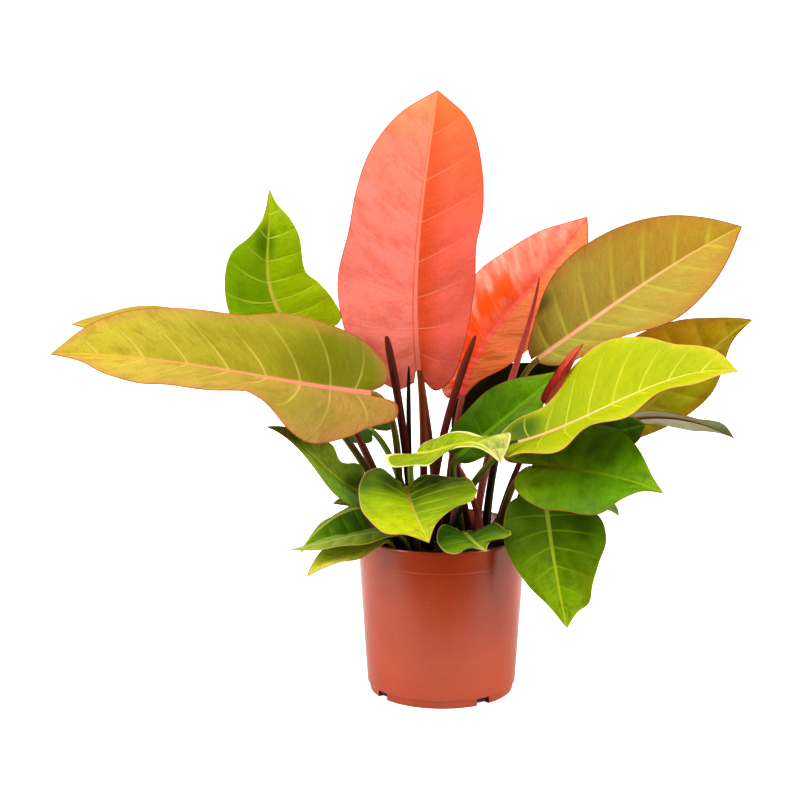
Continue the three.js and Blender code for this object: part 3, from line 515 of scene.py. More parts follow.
# %% Scrolls
SCROLLS = {
    "new_leaf_spear": dict(
        girth=(3.6, 5.2), path=[(35, 6, 135), (46, 12, 232), (74, 21, 328), (96, 23, 416)],
        twist=0.7, lap=0.12, point=1.3, finish="rolled_leaf_skin", rough=0.35, relief=0.4,
        colours=("#7c2c20", "#cc685c", "#c4564c", "#a43028")),
    "sheath_left": dict(
        girth=(5, 4.2), path=[(-26, -14, 135), (-33, -17, 220), (-42, -18, 292), (-55, -18, 365)],
        twist=0.1, lap=0.07, point=24, finish="dry_sheath_left", rough=0.55, relief=0.5,
        colours=("#1c0604", "#3c0e06", "#50160a", "#5c1c10")),
    "sheath_centre": dict(
        girth=(3.4, 2.6), path=[(-28, -2, 135), (-31, -5, 202), (-33, -7, 268), (-33, -8, 333)],
        twist=0.1, lap=0.07, point=8, finish="dry_sheath_centre", rough=0.55, relief=0.5,
        colours=("#140604", "#1c0a06", "#24100a", "#34180e")),
    "sheath_right": dict(
        girth=(4.8, 4), path=[(-13, -13, 135), (-8, -15, 215), (8, -16, 292), (32, -16, 365)],
        twist=0.1, lap=0.07, point=16, finish="dry_sheath_right", rough=0.55, relief=0.5,
        colours=("#280806", "#4c140a", "#601e10", "#6c2814")),
    "sheath_front": dict(
        girth=(4.2, 3.6), path=[(41, -20, 135), (38, -30, 172), (29, -35, 208), (15, -38, 242)],
        twist=0.1, lap=0.07, point=3, finish="fresh_sheath_front", rough=0.45, relief=0.4,
        colours=("#5a1c14", "#a05040", "#8a3020", "#c06a4c")),
}
print("drew", len(SCROLLS), "scrolls")

# %% [markdown]
# ## What each leaf looks like
#
# Colours run from the stalk to the tip where there are several.
#
# - `left` and `right` are the two halves, `rib` the midrib, and `vein` the side veins, with
#   how clearly they show and their width in millimetres.
# - `under` is the lower side, and `under_share` how far it hides the colours above.
# - `rib_shadow_and_tint` is a band beside the midrib: on which side, its colour, how strong it is, and
#   how far out it reaches as a share of the half. On coral_tall it is painted shadow, the
#   shadow of the raised midrib; on coral_leaning it is the leaf's own orange.
# - `margin` tints the blade near its edge: colour, reach in millimetres, and strength.
# - `blush` is blotches that run with the veins, with their strength, and `painted_wrinkle_highlight`
#   painted highlights on the crests of wrinkles on one side.
# - `spots` are soft patches: their place along and out from the midrib, their reach both
#   ways, their colour, and how strongly they cover.
# - `rim` is the thread along the margin, with its width. `stalk` is the leaf's stalk.
# - `rough`, `streaks` and `relief` set the shine, the fine lines and the unevenness of a
#   leaf that differs from the others in them.

# %% Looks
LOOKS = {
    "coral_tall": dict(
        # the left half is paler than the right partly in its own pinker colour, partly as painted
        # light from the lamp on the left
        left=("#ff8a7e", "#ff8c80", "#ff8c7e", "#fe8a74", "#fc9460"),
        right=("#ee6c5c", "#ee6c5e", "#ee6c5a", "#e86c48", "#ea743a"),
        rib=("#fa8478", "#fb8a7a", "#f88c6c", "#f8925c"), vein=("#ffa088", 0.5, 1.3),
        # painted shadow: the dark orange band beside the midrib is the raised midrib's shadow
        under="#c8503c", rib_shadow_and_tint=(1, "#d84c0a", 0.75, 0.55), blush=("#f06038", 0.4),
        rim=("#b43820", 1.0), stalk=("#30100a", "#8c3c18", "#984c28"), rough=0.5, streaks=0.1,
        relief=0.3),
    "coral_leaning": dict(
        left=("#ec6440", "#f6745c", "#fa806c", "#f8846c"),
        right=("#d87038", "#e07a44", "#ea8050", "#f68858"), rib=("#e85c50", "#f26858", "#f87a68"),
        vein=("#ffa48c", 0.3, 1.2), under="#c8503c", rib_shadow_and_tint=(-1, "#f44400", 0.5, 0.25),
        # painted highlights: the pale pink wrinkle crests stand in for the lamps' shine; the orange
        # band and spots are the leaf's own colour
        blush=("#f04c14", 0.35), painted_wrinkle_highlight=(-1, "#ffa690", 0.85),
        spots=[(46, -22, 54, 30, "#ff5200", 1), (106, -20, 46, 19, "#ff5a06", 0.95)],
        rim=("#d83c28", 1.2), stalk=("#30100c", "#a04034", "#c06450"), rough=0.28),
    "bronze_right": dict(
        left=("#948c34", "#a89440", "#ac9038", "#b08c2c", "#b09828"),
        right=("#a09a40", "#a89c3e", "#ac983a", "#b09436", "#b49832"),
        rib=("#e8a880", "#f0b490", "#dcb070", "#c8a848"), vein=("#bcb03c", 0.85, 4),
        under="#8a7434", margin=("#a8682c", 18, 0.5), blush=("#ac7830", 0.4),
        spots=[(34, -42, 28, 15, "#505010", 0.75)], rim=("#8c4420", 1.2),
        stalk=("#2c2408", "#6c5418", "#807030")),
    "olive_back_right": dict(
        left=("#6a5a0c", "#a07410", "#b48c12", "#b8a818"),
        right=("#7a8010", "#a4a414", "#b8b414", "#b8ac18"), rib=("#a8983c", "#bcb038", "#c0b430"),
        vein=("#b8a830", 0.5, 3.5), under="#7c6c20", margin=("#94540c", 16, 0.5),
        blush=("#a07008", 0.4), rim=("#7a3c14", 0.9), stalk=("#4a4a10", "#6a6018", "#7a6c20")),
    "lime_right": dict(
        left=("#849400", "#9ca800", "#a8b000", "#a4ac00", "#b4b404"),
        right=("#8c9c00", "#a4ac00", "#acb400", "#b0b400", "#b8b408"),
        rib=("#e4b080", "#e8bc84", "#e0cc70", "#d4cc44"), vein=("#d8d44c", 0.85, 1.7),
        under="#a0a838", margin=("#c8bc28", 12, 0.5), blush=("#8ca000", 0.35),
        spots=[(4, -15, 34, 24, "#446400", 0.95), (24, 8, 26, 14, "#7c9400", 0.8)],
        rim=("#d8986c", 1.0), stalk=("#3c3c08", "#646c14", "#747c18")),
    "grey_narrow_right": dict(
        left=("#4c5c1c", "#747840", "#8c8a3c"), rib=("#8a3844", "#9c4c50"),
        vein=("#b0b088", 0.4, 1.5), under=("#bcb890", "#bcb890", "#bcb890", "#b4b480", "#5c8410"),
        under_share=0.9, blush=("#5c6c2c", 0.4), rim=("#8a4434", 0.8),
        stalk=("#4a4a18", "#6c6c2c", "#7c7c38")),
    "green_centre": dict(
        left=("#446800", "#507800", "#649000", "#78a000"),
        right=("#3c5c00", "#507800", "#608800", "#749c00"), rib=("#64900c", "#709c0c", "#80a014"),
        vein=("#64900c", 0.5, 2), under="#4c7020", blush=("#345c00", 0.4), rim=("#803c1c", 0.8),
        stalk=("#3c4c0c", "#5c7018", "#6c8020")),
    "dark_centre": dict(
        # painted shadow: this leaf sits deep in the rosette with its upper side in shadow, and its
        # near-black colours stand in for that shadow over a dark green
        left=("#101804", "#121c04", "#1c2c04"), rib=("#2c3410", "#3c4818"),
        vein=("#243010", 0.3, 1.5), under="#141c0c", blush=("#0c1404", 0.3), rim=("#3c1810", 0.7),
        stalk=("#3c1c10", "#5c2c1c", "#6c3424")),
    "red_furled": dict(
        left=("#681c14", "#b03c30", "#dc5844", "#ec7450"), rib=("#7c2014", "#d06040"),
        vein=("#c84c38", 0.3, 1.2), under="#bc4028", blush=("#701408", 0.5), rim=("#5c100c", 0.6),
        stalk=("#5c2018", "#8a3424", "#a04030"), rough=0.32),
    "green_right": dict(
        left=("#849800", "#708c00", "#588000", "#669600", "#86aa00"),
        right=("#749000", "#608400", "#507800", "#5e9000", "#7ea400"),
        rib=("#605818", "#6c6c10", "#7c9808", "#98ac10"), vein=("#587c08", 0.5, 2.4),
        under="#4c6c18", blush=("#304800", 0.4), spots=[(20, 22, 22, 12, "#3c4c00", 0.4)],
        rim=("#8c3c24", 0.8), stalk=("#54440c", "#746820", "#7c7c28")),
    "green_hanging": dict(
        left=("#3c5800", "#507000", "#668800", "#7ca000", "#98b010"),
        right=("#446000", "#587800", "#6c8c00", "#84a400", "#94b008"),
        rib=("#a0a448", "#a4b430", "#acbe1c", "#b6c22e"), vein=("#96ae1c", 0.7, 1.8),
        under="#5c7c20", blush=("#3c5c00", 0.45),
        spots=[(34, -34, 30, 20, "#304c00", 0.7), (92, -26, 40, 12, "#747004", 0.4)],
        rim=("#8c8420", 0.9), stalk=("#3c4c10", "#5c7018", "#70801c")),
    "lime_wavy": dict(
        left=("#98a414", "#90a404", "#a4b018", "#ece09c"),
        right=("#8c9c10", "#98a814", "#acb41c", "#f4e8ac"), rib=("#c8c440", "#b4b424", "#f0e8a8"),
        vein=("#d0d058", 0.5, 1.6), under="#a0ac28", blush=("#6c8c04", 0.7), rim=("#ece09c", 1.8),
        stalk=("#5c6018", "#8c9430", "#a8ac48")),
    "lime_front": dict(
        left=("#344c00", "#4c6400", "#6c8400", "#8ca400", "#b8bc1c"),
        right=("#4c6c00", "#88a000", "#a0b000", "#b0b804", "#c0bc20"),
        rib=("#6a5c0c", "#a08c30", "#b4a838", "#ccc430"), vein=("#a8b414", 0.6, 2.2),
        under="#b09450", blush=("#6c8800", 0.6), spots=[(-4, 16, 20, 16, "#283c00", 0.6)],
        rim=("#cc9460", 1.1), stalk=("#3c3c0c", "#6c6c1c", "#7c7428")),
    "green_rim": dict(
        left=("#345000", "#4c6c00", "#648008", "#808c18"),
        right=("#406c00", "#547800", "#6c8410", "#a0a04c"), rib=("#7c9028", "#98a844", "#b4b458"),
        vein=("#749020", 0.5, 1.6), under="#5c7828", blush=("#345400", 0.4), rim=("#b89c64", 1.3),
        stalk=("#3c4c10", "#5c6c1c", "#6c7c24")),
    "bronze_left": dict(
        left=("#b08a44", "#ac8e40", "#b09640", "#bca440", "#c4a82c"),
        right=("#7c7c10", "#948c18", "#a49828", "#b4a430", "#c0ac2c"),
        rib=("#e88c74", "#e08c68", "#d49458", "#c8ac30"), vein=("#ccb254", 0.8, 2.4),
        under="#8a6c2c", margin=("#b87c4c", 15, 0.5), blush=("#8c7818", 0.45),
        spots=[(48, 30, 70, 36, "#747808", 0.6), (74, -26, 50, 22, "#90881c", 0.5)],
        rim=("#a85424", 1.2), stalk=("#30280c", "#6c5818", "#84702c")),
    "olive_back_left": dict(
        left=("#8c7c20", "#a89034", "#b89c38"), right=("#94882c", "#a4942e", "#a8922e", "#b49a38"),
        rib=("#b49c40", "#c0ac40"), vein=("#c8b450", 0.5, 2.4), under="#7c6c28",
        blush=("#a08420", 0.5), rim=("#985c24", 0.9), stalk=("#4c4410", "#6c641c", "#807428")),
    "green_upper_left": dict(
        # lime green, painted brighter than the tissue is: painted light for the backlight that glows
        # through the leaf
        left=("#98b408", "#7ca400", "#90b400", "#acc000"),
        right=("#a0b808", "#9cb800", "#90b000", "#a8c000"),
        rib=("#c8b458", "#ccc050", "#a8b81c", "#b8c010"), vein=("#c2d048", 0.8, 1.6),
        under="#648c18", blush=("#789c00", 0.3),
        spots=[(102, -3, 26, 15, "#4c7000", 0.75), (56, -30, 22, 13, "#648400", 0.4)],
        rim=("#989c18", 0.9), stalk=("#4c2010", "#7c4020", "#84502c")),
    "green_folded_left": dict(
        left=("#4c6c00", "#608400", "#7c9408", "#909c28"),
        right=("#4c7400", "#748c00", "#8c9c14", "#98a030"), rib=("#8c9c14", "#98a81c", "#a0a848"),
        vein=("#8ca41c", 0.5, 2), under="#54701c", blush=("#3c5c00", 0.5), rim=("#8c5c24", 0.9),
        stalk=("#3c4c10", "#5c6c18", "#6c7c20")),
    "green_left_low": dict(
        left=("#385800", "#446700", "#5c8400", "#7c9800"),
        right=("#506c00", "#608400", "#7c9808", "#90a418"), rib=("#a0a438", "#b0b440", "#b4b83c"),
        vein=("#84a010", 0.4, 2), under="#48641c", blush=("#2c4800", 0.4), rim=("#80501c", 0.8),
        stalk=("#343c0c", "#506014", "#606c1c")),
    "green_left_rim": dict(
        left=("#506c08", "#708018", "#88942c", "#a8ac48"),
        right=("#4c6c00", "#688408", "#88a018", "#9cb020"), rib=("#8c9834", "#a0ac30", "#b0b448"),
        vein=("#94a838", 0.4, 2), under="#547020", blush=("#4c6c00", 0.4), rim=("#b09c4c", 0.9),
        stalk=("#343c0c", "#506014", "#606c1c")),
    "lime_left_rim": dict(
        left=("#98a818", "#c0bc34", "#d4cc50", "#dcd068"),
        right=("#88a000", "#98ac10", "#b4bc2c", "#ccc84c"), rib=("#8c9420", "#a8b02c", "#b4b838"),
        vein=("#b4b434", 0.5, 2), under="#8c942c", blush=("#6c8400", 0.4), rim=("#c88c54", 1.3),
        stalk=("#4c5010", "#707c1c", "#808c24")),
    "green_left_small": dict(
        left=("#3c6000", "#486c00", "#548000"), rib=("#748c18", "#8c9c28"),
        vein=("#6c8c14", 0.4, 1.6), under="#48681c", blush=("#304c00", 0.4), rim=("#6c4c1c", 0.6),
        stalk=("#343c0c", "#506014", "#606c1c")),
    "dark_right": dict(
        left=("#243800", "#304800", "#406000"), right=("#203400", "#2c4400", "#385800"),
        rib=("#44600c", "#5c7418"), vein=("#3c580c", 0.4, 1.8), under="#30480c",
        blush=("#1c2c00", 0.4), rim=("#a05840", 1.2), stalk=("#3c440c", "#545c18", "#606820")),
    "green_back_left": dict(
        left=("#3c6000", "#507400", "#648c00"), rib=("#8ca428", "#9cb434"),
        vein=("#789c1c", 0.5, 2), under="#4c7020", blush=("#345400", 0.5), rim=("#7c4c1c", 0.8),
        stalk=("#3c4c10", "#5c6c18", "#6c7c20")),
    "green_back_right": dict(
        left=("#2c4800", "#3c5c00", "#4c7400", "#688c00"), rib=("#6c8814", "#809824"),
        vein=("#5c7c10", 0.5, 2), under="#486820", blush=("#243c00", 0.5), rim=("#7c4c1c", 0.8),
        stalk=("#3c4c10", "#5c6c18", "#6c7c20")),
    "green_back_centre": dict(
        left=("#406800", "#547c00", "#689000"), rib=("#8ca428", "#9cb434"),
        vein=("#789c1c", 0.5, 2), under="#50741c", blush=("#345800", 0.5), rim=("#7c4c1c", 0.8),
        stalk=("#4c2010", "#7c3c1c", "#84482c")),
}
print("chose", len(LOOKS), "looks")

# %% [markdown]
# ## From two lines to a surface
#
# A leaf is drawn with two kinds of line. Its midrib is a smooth curve in space through
# four points. Each margin is a line on a flat sheet of paper: how far along the midrib,
# and how far out from it. The sheet is then laid on the midrib, folded along it, curled
# and waved. All the lines are worked out for many places at once with numpy arrays.

# %% Midribs
def rib_handles(points):
    """The Bezier handles of a curve through four points a third of its length apart."""
    start, third, two_thirds, end = np.array(points, dtype=float)

    def handle(near, first, second, far):
        return -5 / 6 * near + 3 * first - 1.5 * second + far / 3

    return start, handle(start, third, two_thirds, end), handle(end, two_thirds, third, start), end


def bezier(handles, t):
    """The points of a Bezier curve at the places t, and its directions there."""
    a, b, c, d = handles
    t = np.asarray(t, dtype=float)[..., None]
    s = 1 - t
    points = s ** 3 * a + 3 * s * s * t * b + 3 * s * t * t * c + t ** 3 * d
    directions = s * s * (b - a) + 2 * s * t * (c - b) + t * t * (d - c)
    return points, directions / np.linalg.norm(directions, axis=-1, keepdims=True)


def measured(points):
    """How far along a line each of its points is."""
    return np.concatenate([[0], np.cumsum(np.linalg.norm(np.diff(points, axis=0), axis=1))])


# %% Even steps along a curve
EVEN = np.linspace(0, 1, 201)


def along_curve(handles, shares):
    """Points and directions of a Bezier curve at shares of its length."""
    reached = measured(bezier(handles, EVEN)[0])
    return bezier(handles, np.interp(shares, reached / reached[-1], EVEN))


# %% Margins
STEPS = 30


def smooth_through(points, count):
    """count + 1 evenly spaced points of a centripetal Catmull-Rom line through the points."""
    p = np.array(points, dtype=float)
    p = np.vstack([2 * p[0] - p[1], p, 2 * p[-1] - p[-2]])
    line = []
    for p0, p1, p2, p3 in zip(p, p[1:], p[2:], p[3:]):
        d0, d1, d2 = [np.linalg.norm(b - a) ** 0.5 for a, b in ((p0, p1), (p1, p2), (p2, p3))]
        leave = ((p1 - p0) / d0 - (p2 - p0) / (d0 + d1) + (p2 - p1) / d1) * d1
        arrive = ((p2 - p1) / d1 - (p3 - p1) / (d1 + d2) + (p3 - p2) / d2) * d1
        t = np.linspace(0, 1, STEPS, endpoint=False)[:, None]
        line.append(p1 + leave * t + (3 * (p2 - p1) - 2 * leave - arrive) * t ** 2
                    + (2 * (p1 - p2) + leave + arrive) * t ** 3)
    line = np.vstack([*line, p[-2]])
    reached = measured(line)
    wanted = np.linspace(0, reached[-1], count + 1)
    return np.stack([np.interp(wanted, reached, line[:, k]) for k in (0, 1)], axis=1)


# %% Length of each midrib
for leaf in LEAVES.values():
    leaf["handles"] = rib_handles(leaf["rib"])
    leaf["length"] = measured(bezier(leaf["handles"], EVEN)[0])[-1]
print("the longest midrib is", round(max(leaf["length"] for leaf in LEAVES.values())), "mm")


# %% A point of the sheet
def sheet(leaf, half, sign, along, out):
    """Points of a blade's middle sheet, and the way that its upper side looks there."""
    u = np.clip(along / leaf["length"], 0, 1)
    points, tangents = along_curve(leaf["handles"], u)
    points = points + tangents * np.minimum(along, 0)[..., None]
    turn_start, turn_end = leaf.get("turn", (0, 1))
    progress = np.clip((u - turn_start) / (turn_end - turn_start), 0, 1)[..., None]
    first, last = np.array(leaf["face"], dtype=float)
    up = first + (last - first) * progress
    up = up - tangents * np.sum(up * tangents, axis=-1, keepdims=True)
    up = up / np.linalg.norm(up, axis=-1, keepdims=True)
    outward = sign * np.cross(tangents, up)

    width = max(point[1] for point in half["margin"])
    fold = np.radians(half["fold"][0] + (half["fold"][1] - half["fold"][0]) * progress)
    per_millimetre = math.radians(half["curl"]) / width
    out = out[..., None]
    bend = fold + per_millimetre * out
    points = points + outward * (np.sin(bend) - np.sin(fold)) / per_millimetre
    points = points + up * (np.cos(fold) - np.cos(bend)) / per_millimetre
    normals = up * np.cos(bend) - outward * np.sin(bend)
    height, count, start = half["wave"]
    wave = height * (out / width) ** 2 * np.sin(2 * math.pi * count * u[..., None] + start)
    return points + normals * wave, normals


# %% [markdown]
# ## A blade
#
# A real blade is one thin sheet that swells up between its side veins and has a midrib as
# strong as a stalk. The blade here is a grid whose rows follow the side veins, from the
# midrib out to the margin, because that is how the real one is built and because its
# colours and creases then run the right way. The grid is given its thickness while it is
# flat, and each corner is then put in its place: the sheet between the side veins bulges a
# little, the midrib stands up above and as a strong keel below, and the edge is thinner
# than the middle. Two values are kept on each corner for the materials: where it is on the
# flat sheet, in millimetres, and where it is between the veins.
#
# A finished shape becomes a piece that stands for its solid. Its corners are kept inside
# the box that the solids fill.

# %% A piece
MM = 0.001
SHARP = 50


def piece(name, bm, material, node):
    """Makes a finished bmesh a piece that stands for its node and rides on the root."""
    for vert in bm.verts:
        vert.co = [min(max(c, low), high) for c, low, high in zip(vert.co, *cad_box)]
    mesh = bpy.data.meshes.new(name)
    bm.to_mesh(mesh)
    bm.free()
    mesh.shade_smooth()
    mesh.set_sharp_from_angle(angle=math.radians(SHARP))
    mesh.materials.append(material)
    made = bpy.data.objects.new(name, mesh)
    scene.collection.objects.link(made)
    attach(made, "root")
    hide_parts(node)
    return made


# %% Half a blade
BLADE = 0.9
EDGE = 0.5
RIB_HALF = 3.2
RIB_TAPER = 0.75
RIB_LIMIT = 0.8
KEEL = 3.6
RIDGE = 0.5
VEIN_CROWDING = 1.35
VEIN_SLANT = 0.02
VEIN_BEND = 1.2
QUILT = 1.2
QUILT_RISE = 0.7
NARROW = 20
RIB_COLUMNS = 2


def smoothstep(low, high, value):
    """0 below low, 1 above high, and a smooth step between them."""
    t = np.clip((value - low) / (high - low), 0, 1)
    return t * t * (3 - 2 * t)


def half_blade(leaf, half, sign, rows, columns):
    """Arrays of a half's points, normals, flat places and vein places, rib column first."""
    turn = np.linspace(0, 1, rows + 1)[:, None]
    margin = smooth_through([*half["margin"], (leaf["length"], 0)], rows)
    margin_along, margin_out = margin[:, 0:1], margin[:, 1:2]
    column = np.arange(RIB_COLUMNS + columns + 1)[None, :]
    on_rib = np.minimum(column / RIB_COLUMNS, 1)
    share = np.maximum(column - RIB_COLUMNS, 0) / columns
    rib_half = np.minimum(RIB_HALF * (1 - RIB_TAPER * turn), RIB_LIMIT * margin_out)
    rib_along = leaf["length"] * turn ** VEIN_CROWDING
    along = rib_along + (margin_along - rib_along) * share
    out = rib_half * on_rib + (margin_out - rib_half) * share
    points, normals = sheet(leaf, half, sign, along, out)

    slant = leaf.get("slant", VEIN_SLANT)
    vein_turn = turn - slant * np.sin(math.pi * turn) * share ** VEIN_BEND
    between = np.abs((vein_turn * leaf["veins"] + 0.5) % 1 - 0.5) * 2
    swell = QUILT * leaf.get("quilt", 1) * smoothstep(0, QUILT_RISE, between)
    swell = swell * 4 * share * (1 - share) * smoothstep(0, NARROW, margin_out)
    crown = (1 - on_rib ** 2) * (1 - turn) ** 0.8
    thick = BLADE + (EDGE - BLADE) * share ** 3
    above = thick / 2 + swell + RIDGE * crown
    below = -thick / 2 + swell - KEEL * crown
    edge = (1 - share) * (margin_out - rib_half)
    flat = np.stack([along, sign * out, edge], axis=-1)
    place = np.stack([vein_turn, sign * share + 0 * turn, 0 * along], axis=-1)
    return points, normals, above, below, flat, place


# %% A whole blade
DETAIL = {"long": (132, 24), "large": (112, 22), "small": (64, 14)}
MERGE = 0.02


def blade(leaf):
    """The bmesh of a whole blade."""
    rows, columns = DETAIL[leaf["rows"]]
    right = half_blade(leaf, leaf["right"], 1, rows, columns)
    left = half_blade(leaf, leaf["left"], -1, rows, columns)
    points, normals, above, below, flat, place = [
        np.concatenate([b[:, :0:-1], a], axis=1) for a, b in zip(right, left)]
    across = points.shape[1] - 1

    bm = bmesh.new()
    row_layer = bm.verts.layers.int.new("row")
    column_layer = bm.verts.layers.int.new("column")
    under_layer = bm.verts.layers.int.new("under")
    flat_layer = bm.verts.layers.float_vector.new("flat")
    place_layer = bm.verts.layers.float_vector.new("veins")
    bmesh.ops.create_grid(bm, x_segments=across, y_segments=rows, size=0.5)
    for vert in bm.verts:
        vert[row_layer] = round((vert.co.y + 0.5) * rows)
        vert[column_layer] = round((vert.co.x + 0.5) * across)
    thickened = bmesh.ops.solidify(bm, geom=bm.faces[:], thickness=0.01)
    for made in thickened["geom"]:
        if isinstance(made, bmesh.types.BMVert):
            made[under_layer] = 1
    for vert in bm.verts:
        i, j, under = vert[row_layer], vert[column_layer], vert[under_layer]
        height = below[i, j] if under else above[i, j]
        vert.co = (points[i, j] + normals[i, j] * height) * MM
        vert[flat_layer] = flat[i, j]
        vert[place_layer] = (place[i, j, 0], place[i, j, 1], under)
    for name in ("row", "column", "under"):
        bm.verts.layers.int.remove(bm.verts.layers.int[name])
    bmesh.ops.remove_doubles(bm, verts=bm.verts[:], dist=MERGE * MM)
    bmesh.ops.recalc_face_normals(bm, faces=bm.faces[:])
    return bm


# %% [markdown]
# ## A stalk
#
# A leaf stalk is round and tapers upwards. A cylinder is cut into rings, and each ring is
# moved to its place on the stalk's curve. The end runs on a little under the blade, where
# the real stalk becomes the midrib, so that no gap shows.

# %% A bent cylinder
def bent_cylinder(points, radii, sides):
    """A cylinder whose rings lie at the points, which are in millimetres."""
    rings = len(points) - 1
    tangents = np.gradient(points, axis=0)
    tangents = tangents / np.linalg.norm(tangents, axis=1, keepdims=True)
    bm = bmesh.new()
    bmesh.ops.create_cone(bm, cap_ends=True, segments=sides, radius1=1, radius2=1, depth=1)
    upright = [e for e in bm.edges if abs(e.verts[0].co.z - e.verts[1].co.z) > 0.5]
    bmesh.ops.subdivide_edges(bm, edges=upright, cuts=rings - 1, use_grid_fill=True)
    place_layer = bm.verts.layers.float_vector.new("stalk")
    side = np.cross(tangents[0], (0, 1, 0))
    frames = []
    for tangent in tangents:
        side = side - tangent * np.dot(side, tangent)
        side = side / np.linalg.norm(side)
        frames.append((side, np.cross(tangent, side)))
    for vert in bm.verts:
        i = round((vert.co.z + 0.5) * rings)
        x, y = vert.co.x, vert.co.y
        side, other = frames[i]
        vert[place_layer] = (i / rings, math.atan2(y, x) / math.tau, 0)
        vert.co = (points[i] + (side * x + other * y) * radii(i / rings, math.atan2(y, x))) * MM
    bmesh.ops.recalc_face_normals(bm, faces=bm.faces[:])
    return bm


# %% A leaf's stalk
STALK_SIDES = 18
STALK_RINGS = 40
SOIL_TOP = 147
ROOT_DEPTH = 12
RUN_ON = 9
UNDER_BLADE = [
    # share of the run under the blade, how far it sinks in mm, share of the radius left
    (0.45, 0.1, 0.8),
    (1, 0.3, 0.35),
]


def stalk(leaf):
    """The bmesh of a leaf's stalk, from its foot in the soil to the blade."""
    base, normal = sheet(leaf, leaf["right"], 1, np.array([0.0]), np.array([0.0]))
    _, tangent = along_curve(leaf["handles"], np.array([0.0]))
    end = base[0] - normal[0] * KEEL / 2
    foot = np.array([*leaf["root"], SOIL_TOP - ROOT_DEPTH], dtype=float)
    handles = (foot, foot + (0, 0, leaf["rise"]), end - tangent[0] * leaf["reach"], end)
    run = along_curve(handles, np.linspace(0, 1, STALK_RINGS))[0]
    on, _ = along_curve(leaf["handles"], np.array([RUN_ON / leaf["length"]]))
    ahead = on[0] - base[0]
    run = np.vstack([run, *[run[-1] + ahead * share - normal[0] * sunk
                            for share, sunk, _ in UNDER_BLADE]])
    foot_radius, top_radius = leaf["stalk"]
    last = (len(run) - 1 - len(UNDER_BLADE)) / (len(run) - 1)

    def radius(u, angle):
        if u > last:
            return top_radius * UNDER_BLADE[0 if u < 1 else 1][2]
        return foot_radius + (top_radius - foot_radius) * u / last

    return bent_cylinder(run, radius, STALK_SIDES)


# %% [markdown]
# ## The new leaf and the old sheaths
#
# A new leaf of this plant comes up rolled like a scroll, and the sheath that wrapped it
# dries and stays on as a thin dark blade. Both are a cylinder that swells a little above
# its foot and closes to a point. What tells them apart is the edge of the outer turn,
# which stands a little proud and winds up along the scroll.

# %% A scroll
SCROLL_SIDES = 36
SCROLL_RINGS = 90
CLOSING = 0.995
INNER_TURN = 0.93


def scroll(shape):
    """The bmesh of a rolled leaf or a sheath."""
    points = along_curve(rib_handles(shape["path"]), np.linspace(0, 1, SCROLL_RINGS + 1))[0]
    foot, thickest = shape["girth"]

    def radius(u, angle):
        body = foot + (thickest - foot) * min(2 * u, 1)
        body = body * math.sqrt(1 - (CLOSING * u) ** shape["point"])
        wound = ((angle + math.pi) / math.tau + shape["twist"] * u) % 1
        return body * (INNER_TURN + shape["lap"] * wound)

    return bent_cylinder(points, radius, SCROLL_SIDES)

# %% [markdown]
# ## The skin of a leaf
#
# A leaf's upper skin is a smooth wax over green or red tissue. Its colour changes from the
# stalk to the tip and differs a little between its halves; the midrib is paler, the side
# veins are fine pale lines, the rim is a thin coloured thread, and young leaves keep
# blotches of the colour that they are turning into.
#
# All of that is painted in layers, as with glazes. The first cell names the places that
# the layers are drawn from. They are kept on each corner of the blade, so that the paint
# follows it round every fold. `ripeness` is the place along the leaf, moved to and fro by
# a soft cloud, so that no colour ends in a straight line.

# %% Places on a leaf
LEAF_CLOUD = 45.45
CLOUD_SHIFT = 0.25


def scale_of(millimetres):
    """The scale of a noise on Object coordinates whose features are this wide."""
    return 1 / (millimetres * MM)


def even_stops(colours):
    """Ramp stops that spread the colours evenly from 0 to 1."""
    return [(i / (len(colours) - 1), colour) for i, colour in enumerate(colours)]


def places_on(tree, leaf):
    """Sockets, by name, that say where a point of the blade is."""
    flat = add(tree, "SeparateXYZ", {0: add(tree, "Attribute", attribute_name="flat")})
    veins = add(tree, "SeparateXYZ", {0: add(tree, "Attribute", attribute_name="veins")})
    names = ("along", "out", "edge", "turn", "share", "under")
    at = dict(zip(names, [*flat.outputs, *veins.outputs]))
    at["object"] = add(tree, "TexCoord").outputs["Object"]
    at["u"] = add(tree, "Math", {0: at["along"], 1: leaf["length"]}, operation="DIVIDE")
    at["cloud"] = add(tree, "TexNoise", {"Vector": at["object"], "Scale": scale_of(LEAF_CLOUD),
                                         "Detail": 3})
    shift = add(tree, "Math", {0: at["cloud"], 1: CLOUD_SHIFT, 2: -CLOUD_SHIFT / 2},
                operation="MULTIPLY_ADD")
    at["ripeness"] = add(tree, "Math", {0: at["u"], 1: shift}, operation="ADD", use_clamp=True)
    return at


# %% [markdown]
# Two patterns run with the side veins: fine lines, and blotches that are long across the
# leaf. The lines are about 1 mm apart, a little wider than on a real leaf, so that they
# show. A third, the side veins themselves, comes from how many of them a half has.

# %% Patterns along the veins
LINE = 0.625
LINE_PULL = 2.4
BLOTCH_STRETCH = (0.045, 0.7, 1)
VEIN_CORE = 0.15
GAP_AT_RIB = 1.3


